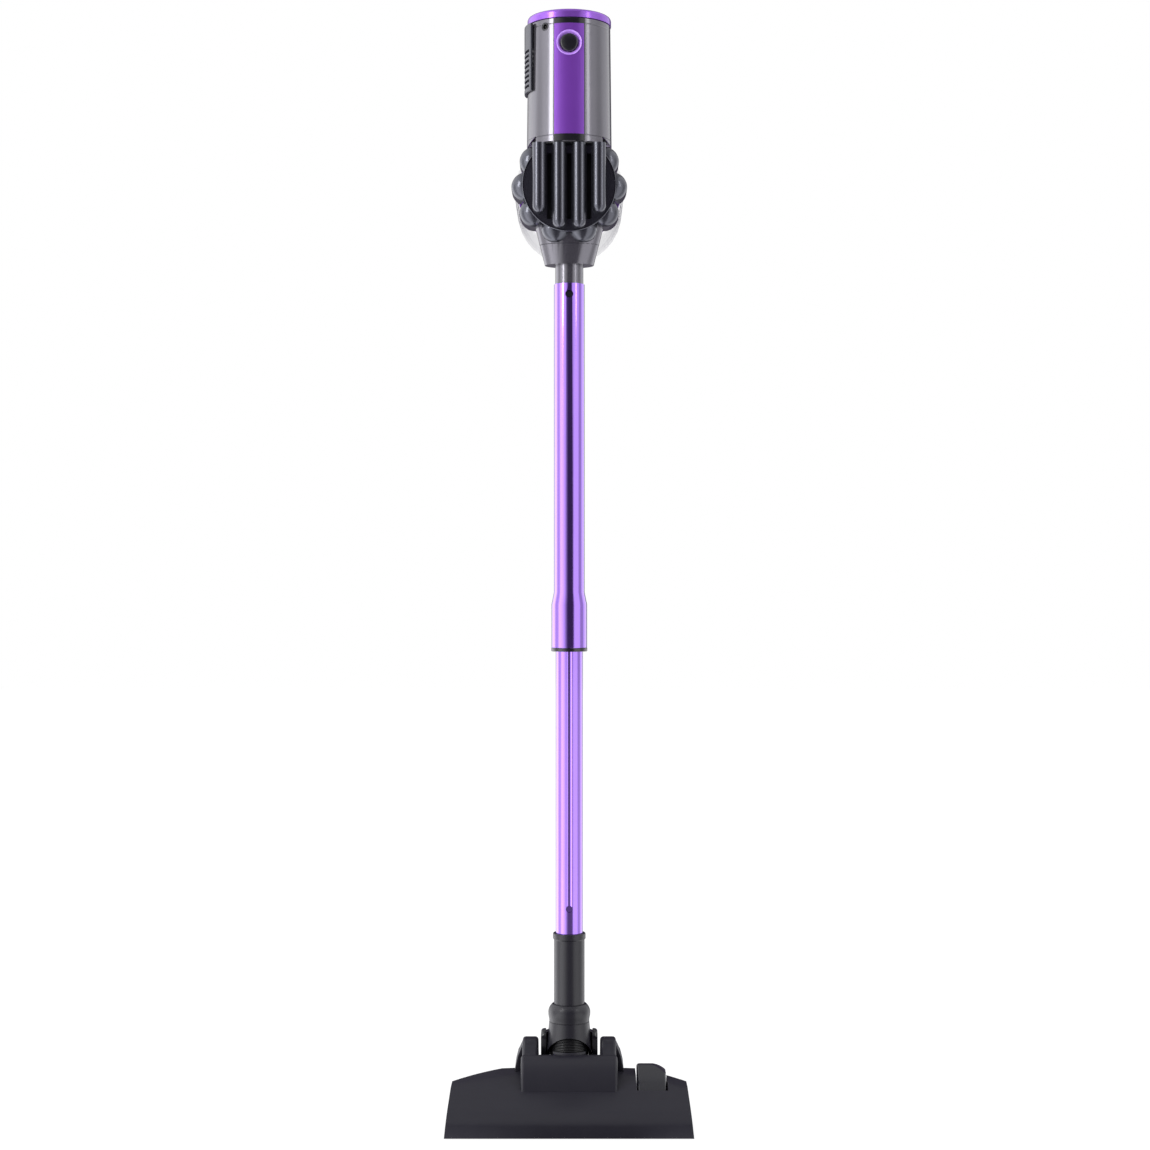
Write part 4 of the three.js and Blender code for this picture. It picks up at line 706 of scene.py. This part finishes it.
# ---------------------------------------------------------------- cyclone pack
CYCLONE_Z = 972
RIB_PITCH = 20.5
low, high = node_box("cyclone_body")
lobe_front, lobe_back = low.y, high.y
LOBE_R = 15.1
LOBE_RING = 45.2
LOBES = 10
dome = 12
lobe_line = []
for step in range(1, 10):
    turn = step * pi / 18
    lobe_line.append([LOBE_R * sin(turn), lobe_front + dome * (1 - cos(turn))])
lobe_line += [[LOBE_R, lobe_back - 2], [LOBE_R - 0.6, lobe_back - 0.6], [LOBE_R - 1.5, lobe_back]]
lobes = []
for step in range(LOBES):
    turn = radians((step + 0.5) * 360 / LOBES)
    where = (-LOBE_RING * sin(turn), 0, CYCLONE_Z - LOBE_RING * cos(turn))
    if not lobes:
        lobes.append(turned("lobe", lobe_line, "Y", where, 40))
        first = Vector(where)
    else:
        lobes.append(copied(lobes[0], f"lobe_{step}", Vector(where) - first))
drum = turned("drum", [
    [20, -27.7], [46, -27.7], [47, -26.7], [47, lobe_back - 1], [46, lobe_back], [20, lobe_back]],
    "Y", (0, 0, CYCLONE_Z))
lip = block("lip_cut", (-EVERYWHERE, -60, 1013.3), (EVERYWHERE, -22, EVERYWHERE * 4))
cyclone = shaped(joined("cyclone_cluster", lobes + [drum]), lip)
fitted(rounded(cyclone, 0), CHARCOAL_GLOSS, "hand_unit", "cyclone_body")

low, high = node_box("filter_cover")
cover_top = high.z
disc = turned("disc", [
    [20, -28], [47.9, -28], [48.7, -28.8], [48.7, -31.6], [48.3, -32.2], [47.7, -32.2], [47.2, -31.4],
    [20, -31.4]],
    "Y", (0, 0, CYCLONE_Z))
for step in (-1, 0, 1):
    x = step * RIB_PITCH
    shaped(disc, block("vent", (x - 2.4, -EVERYWHERE, 936), (x + 2.4, EVERYWHERE, 1004)))
shaped(disc, block("above", (-EVERYWHERE, -60, cover_top), (EVERYWHERE, 60, EVERYWHERE * 4)))
RIB_R = 7.2
rib_line = [[RIB_R * sin(step * pi / 18), RIB_R * (1 - cos(step * pi / 18))] for step in range(1, 10)]
cover_parts = [rounded(disc, 0.3)]
for step in (-1.5, -0.5, 0.5, 1.5):
    foot = 941.5 if abs(step) > 1 else 926
    line = [[radius, foot + place] for radius, place in rib_line] + [[RIB_R, cover_top]]
    cover_parts.append(turned(f"rib_{step}", line, "Z", (step * RIB_PITCH, low.y + RIB_R, 0), 40))
cover = joined("ribbed_cover", cover_parts)
pick(cover)
bpy.ops.object.shade_smooth_by_angle(angle=radians(40))
fitted(cover, CHARCOAL_GLOSS, "front_cover", "filter_cover")

fitted(softened("cone_cluster", "cyclone_cones", 0.3), DARK_INSIDE, "hand_unit", "cyclone_cones")
fitted(softened("shroud_mesh", "shroud", 0.3), CHARCOAL_GLOSS, "hand_unit", "shroud")
fitted(softened("shroud_flare", "shroud_skirt", 0.4), PURPLE_RING, "hand_unit", "shroud_skirt")
fitted(softened("seat_ring", "bin_seat_ring", 0.3), PURPLE_RING, "hand_unit", "bin_seat_ring")
kept(FOAM, "filter_foam")
fitted(softened("clear_bin_body", "dust_bin", 0.4), CLEAR_BIN, "bin", "dust_bin")
fitted(softened("clear_bin_lid", "bin_door", 0.5), CLEAR_BIN, "bin_lid", "bin_door")
fitted(softened("lid_catch", "door_latch", 0.5), HOUSING_GREY, "lid_latch", "door_latch")
kept(STEEL, "door_pin")
fitted(softened("release_key", "bin_button", 0.6, 3), PURPLE_STRIPE, "bin_release", "bin_button")

# ---------------------------------------------------------------- motor housing
low, high = node_box("motor_housing")
foot, top = low.z, high.z
FOOT_R, TOP_R = 44.4, 43
WALL = 2.2
BUTTON_Z = 1116
DISH_R = 13.4


def housing_radius(z):
    return FOOT_R + (TOP_R - FOOT_R) * (z - foot) / (top - foot)


seam = foot + 7
housing_line = [[housing_radius(z) - sink, z] for z, sink in (
    (foot, 0.6), (foot + 0.8, 0), (seam - 0.5, 0), (seam - 0.2, 0.5), (seam + 0.2, 0.5), (seam + 0.5, 0),
    (foot + 40, 0), (foot + 80, 0), (top - 6.4, 0), (top - 6, 0.4), (top - 5.6, 0.4), (top - 5.2, 0),
    (top - 0.6, 0), (top, 0.5))]
housing_line += [[housing_radius(top) - WALL, top], [housing_radius(foot) - WALL, foot]]
housing = turned("housing_shell", housing_line, wall=True)
saddle = rod("saddle", 61.2, -27.7, 200, "Y", (0, 0, CYCLONE_Z), 128)
shaped(housing, saddle)
shaped(housing, rod("dish", DISH_R, -60, 0, "Y", (0, 0, BUTTON_Z), 64))
socket_low, socket_high = node_box("charge_socket")
SOCKET_TURN, SOCKET_Z = -35.5, (socket_low.z + socket_high.z) / 2
shaped(housing, turned_round(rod("port", 3.6, -60, -20, "Y", (0, 0, SOCKET_Z), 48), SOCKET_TURN))
fitted(rounded(housing, 0.25), HOUSING_GREY, "hand_unit", "motor_housing")
port_rim = turned("port_rim", [
    [3.5, -36], [4.4, -36], [4.4, -42.9], [4.1, -43.2], [3.7, -43.1], [3.5, -42.8]],
    "Y", (0, 0, SOCKET_Z), 48, wall=True)
fitted(rounded(turned_round(port_rim, SOCKET_TURN), 0), CHARCOAL_SATIN, "hand_unit", slot="charcoal_satin")

gasket = turned("foot_gasket", [
    [24, foot - 0.8], [43.2, foot - 0.8], [43.2, foot + 0.3], [24, foot + 0.3]], wall=True)
shaped(gasket, rod("saddle", 60.6, -27.7, 200, "Y", (0, 0, CYCLONE_Z), 128))
fitted(rounded(gasket, 0), DARK_INSIDE, "hand_unit", slot="charcoal_satin")

low, high = node_box("front_stripe")
half = high.x


def front_panel(name, half, line):
    """A curved strip down the front of the housing, with the button's dish cut out of it."""
    panel = turned(name, line, wall=True)
    shaped(panel, block("span", (-half, -60, 900), (half, 0, 1200)), "INTERSECT")
    return shaped(panel, rod("dish", DISH_R, -60, 0, "Y", (0, 0, BUTTON_Z), 64))


bed_line = [[housing_radius(z) + lift, z] for z, lift in (
    (foot + 0.6, -0.8), (foot + 0.6, 0.12), (top - 0.6, 0.12), (top - 0.6, -0.8))]
stripe_bed = rounded(front_panel("stripe_bed", half + 0.9, bed_line), 0.1)
fitted(stripe_bed, BLACK_GLOSS, "hand_unit", slot="black_gloss")
stripe_line = [[housing_radius(z) + lift, z] for z, lift in (
    (low.z, -0.5), (low.z, 0.2), (low.z + 0.3, 0.35), (high.z - 0.3, 0.35), (high.z, 0.2), (high.z, -0.5))]
stripe = front_panel("stripe_panel", half, stripe_line)
fitted(rounded(stripe, 0.25), PURPLE_STRIPE, "hand_unit", "front_stripe")

low, high = node_box("button_bezel")
bezel = turned("button_dish", [
    [9.4, high.y], [13.1, high.y], [13.1, low.y + 0.4], [12.7, low.y], [12.2, low.y + 0.2], [11, low.y + 1.5],
    [9.9, low.y + 2.7], [9.4, low.y + 3.2]], "Y", (0, 0, BUTTON_Z), 80, wall=True)
fitted(rounded(bezel, 0), DISH_LILAC, "hand_unit", "button_bezel")

low, high = node_box("power_button")
button_line = [[9.1, high.y], [9.1, low.y + 2], [8.9, low.y + 1.4], [8.3, low.y + 1]]
button_line += [[radius, low.y + 1 - 1 * (1 - (radius / 8.3) ** 2)] for radius in (7, 5.5, 4, 2.5, 1)]
power_key = rounded(turned("power_key", button_line, "Y", (0, 0, BUTTON_Z), 80), 0)
fitted(power_key, BLACK_GLOSS, "switch_button", "power_button")

fitted(softened("vent_grille", "exhaust_grille", 0.4), GRILLE_GREY, "hand_unit", "exhaust_grille")
low, high = node_box("exhaust_grille")
CHANNEL_TURN = (-58.5, -48.5)
channel_line = [[housing_radius(z) + lift, z] for z, lift in (
    (low.z + 8, -0.6), (low.z + 8, 0.3), (high.z, 0.3), (high.z, -0.6))]
# Painted shade: a thin sheet 0.3 mm proud of the housing beside the grille, coloured dark blue-grey to stand
# for the shaded channel recess, which the housing here is not cut for
channel_shade = turned("channel_painted_shade", channel_line, wall=True)
reach = 80
edges = [(reach * sin(radians(turn)), -reach * cos(radians(turn))) for turn in CHANNEL_TURN]
pick(channel_shade)
bpy.ops.object.mode_set(mode="EDIT")
for (x, y), inner in zip(edges, (False, True)):
    bpy.ops.mesh.select_all(action="SELECT")
    bpy.ops.mesh.bisect(
        plane_co=(0, 0, 0), plane_no=(-y, x, 0), use_fill=True, clear_inner=not inner, clear_outer=inner)
bpy.ops.object.mode_set(mode="OBJECT")
fitted(rounded(channel_shade, 0.3, 3), RECESS_SHADE, "hand_unit", slot="charcoal_satin")

low, high = node_box("top_ring")
ring_line = [
    [36.9, low.z], [high.x, low.z], [high.x, high.z - 3.4], [high.x - 0.2, high.z - 2.2],
    [high.x - 0.8, high.z - 1.1], [high.x - 1.8, high.z - 0.35], [high.x - 3, high.z],
    [37.8, high.z - 0.5], [36.9, high.z - 1.4]]
fitted(rounded(turned("ring_band", ring_line, wall=True), 0), PURPLE_RING, "hand_unit", "top_ring")
fitted(softened("cap_disc", "top_cap", 0.6), HOUSING_GREY, "hand_unit", "top_cap")
fitted(softened("charge_port", "charge_socket", 0.2), BLACK_GLOSS, "hand_unit", "charge_socket")

# ---------------------------------------------------------------- handle and inside parts
GRIP_PATH = [
    (38, 1119), (60, 1126), (90, 1126), (114, 1114), (123.5, 1088), (114, 1060), (92, 1047.5), (64, 1046),
    (38, 1046)]
low, high = node_box("handle_right")
GRIP_WIDE, GRIP_THICK = high.x * 2, 18
handle = swept("handle_loop", GRIP_PATH, GRIP_WIDE, GRIP_THICK)
shaped(handle, rod("housing_room", 43.2, 1000, 1200, sides=128))
shaped(handle, block("key_pocket", (-8.6, 56.4, 1020), (8.6, 72.6, 1039.6)))
for node in ("handle_screw_1", "handle_screw_2"):
    screw_low, screw_high = node_box(node)
    middle = (screw_low + screw_high) / 2
    shaped(handle, rod("screw_bore", 2.7, screw_low.x, 60, "X", (0, middle.y, middle.z), 32))
fitted(rounded(handle, 0, crease=34), HANDLE_GREY, "hand_unit", "handle_left", "handle_right")

low, high = node_box("grip_sleeve")
sleeve = swept("grip_cover", GRIP_PATH, GRIP_WIDE + 3.2, GRIP_THICK + 3.2)
shaped(sleeve, block("sleeve_span", (-40, low.y, 1090), (40, high.y, 1200)), "INTERSECT")
sleeve = rounded(sleeve, 0.8, 3, 40)
fitted(sleeve, GRIP_RUBBER, "hand_unit", "grip_sleeve")
kept(STEEL, "handle_screw_1", "handle_screw_2")
kept(CELL, "battery_cell_1", "battery_cell_2", "battery_cell_3", "battery_cell_4")
kept(BOARD, "control_board")
kept(BLACK_GLOSS, "power_switch")
kept(COPPER, "motor")
kept(FAN_METAL, "fan_rotor")
kept(DARK_INSIDE, "motor_mount", "fan_shroud")


# ---------------------------------------------------------------- studio
LEFT_GLOW, RIGHT_GLOW, TOP_GLOW, FRONT_GLOW = 2.3, 1.35, 0.5, 0.09
FRONT_TINT, SIDE_TINT = (0.8, 0.68, 1, 1), (0.98, 0.98, 1, 1)
HIGH_SIDE_LOSS = 0.25
EDGE_LOSS = 0.55


class Surround:
    """The world's nodes: what lights the object, and the plain white that the eye sees behind it."""

    def __init__(self, world):
        self.tree = world.node_tree
        self.lit = self.tree.nodes["Background"]
        seen = self.tree.nodes.new("ShaderNodeBackground")
        seen.inputs["Color"].default_value = (1, 1, 1, 1)
        ray = self.tree.nodes.new("ShaderNodeLightPath")
        choice = self.tree.nodes.new("ShaderNodeMixShader")
        self.tree.links.new(ray.outputs["Is Camera Ray"], choice.inputs[0])
        self.tree.links.new(self.lit.outputs[0], choice.inputs[1])
        self.tree.links.new(seen.outputs[0], choice.inputs[2])
        self.tree.links.new(choice.outputs[0], self.tree.nodes["World Output"].inputs["Surface"])

    node = Finish.node
    feed = Finish.feed
    mix = Finish.mix

    def direction(self):
        split = self.tree.nodes.new("ShaderNodeSeparateXYZ")
        self.feed(split.inputs[0], self.node("ShaderNodeTexCoord", {}, {}, "Generated"))
        return [Value(self, output) for output in split.outputs]

    def light(self, strength, colour):
        self.feed(self.lit.inputs["Strength"], strength)
        self.feed(self.lit.inputs["Color"], colour)


def smooth_step(finish, value, start, end):
    return finish.node("ShaderNodeMapRange", {"interpolation_type": "SMOOTHSTEP"}, {
        "Value": value, "From Min": start, "From Max": end})


def side_glow(finish, across):
    """Light from either side, dark in front: across runs from -1, left, to 1, right."""
    left = smooth_step(finish, 0 - across, 0.12, 0.94) * LEFT_GLOW
    right = smooth_step(finish, across, 0.42, 0.6) * RIGHT_GLOW
    edges = 1 - smooth_step(finish, abs(across), 0.93, 0.995) * EDGE_LOSS
    return (left + right) * edges + FRONT_GLOW


def glow_tint(finish, glow):
    """The dim front sector is tinted, and the bright sides are nearly white."""
    return finish.mix(smooth_step(finish, glow, FRONT_GLOW, FRONT_GLOW + 0.3), FRONT_TINT, SIDE_TINT)


def softbox(name, place, aim, wide, tall, watts, mirrored=False):
    bpy.ops.object.light_add(type="AREA", location=place)
    light = bpy.context.object
    light.name = name
    light.data.shape = "RECTANGLE"
    light.data.size = wide
    light.data.size_y = tall
    light.data.energy = watts
    light.rotation_euler = (Vector(aim) - Vector(place)).to_track_quat("-Z", "Y").to_euler()
    light.visible_glossy = mirrored


def studio():
    """A pale floor, a bright surround for the eye, and a soft wrap of light from both sides and above."""
    bpy.ops.object.select_all(action="DESELECT")
    bpy.ops.mesh.primitive_plane_add(size=16, location=(0, 0, -0.0005))
    floor = placed("floor")
    finish = Finish("pale_floor", {"Roughness": 0.9, "Specular IOR Level": 0.05})
    cloud = finish.noise(3)
    finish.surface("Base Color", finish.mix(cloud, (0.12, 0.12, 0.12, 1), (0.13, 0.13, 0.13, 1)))
    seen = finish.node("ShaderNodeLightPath", {}, {}, "Is Camera Ray")
    x, y = finish.axes()[:2]
    across = x.math("DIVIDE", x, (x * x + y * y + 0.01) ** 0.5)
    glow = side_glow(finish, across)
    finish.surface("Emission Strength", seen * 0.93 + (1 - seen) * glow)
    finish.surface("Emission Color", finish.mix(seen, glow_tint(finish, glow), (1, 1, 1, 1)))
    floor.data.materials.append(finish.material)

    world = bpy.data.worlds.new("studio_surround")
    bpy.context.scene.world = world
    world.use_nodes = True
    sky = Surround(world)
    x, _, z = sky.direction()
    upper = 1 - smooth_step(sky, z, 0.08, 0.3) * HIGH_SIDE_LOSS
    above = smooth_step(sky, z, 0.35, 0.95) * TOP_GLOW
    strength = side_glow(sky, x) * upper + above
    sky.light(strength, glow_tint(sky, strength))

    softbox("left_softbox", (-1.5, -0.75, 0.75), (0, 0, 0.6), 0.5, 1.9, 10)
    softbox("right_softbox", (1.6, -0.6, 0.75), (0, 0, 0.6), 0.35, 1.8, 4)
    softbox("top_softbox", (0, -0.5, 2.4), (0, 0, 0.4), 1.8, 1.4, 8)
    softbox("left_strip", (-1.2, -1.0, 1.5), (0, 0, 1.1), 0.3, 0.95, 7, mirrored=True)
    softbox("right_strip", (1.25, -0.95, 1.5), (0, 0, 1.1), 0.22, 0.95, 2, mirrored=True)


EYE = Vector((0.006, -2.152, 0.568))
bpy.ops.object.camera_add(location=EYE, rotation=(pi / 2, 0, 0))
camera = bpy.context.object
camera.data.lens = 64.2
camera.data.sensor_width = 36
bpy.context.scene.camera = camera
bpy.context.scene.view_settings.view_transform = "Standard"
studio()
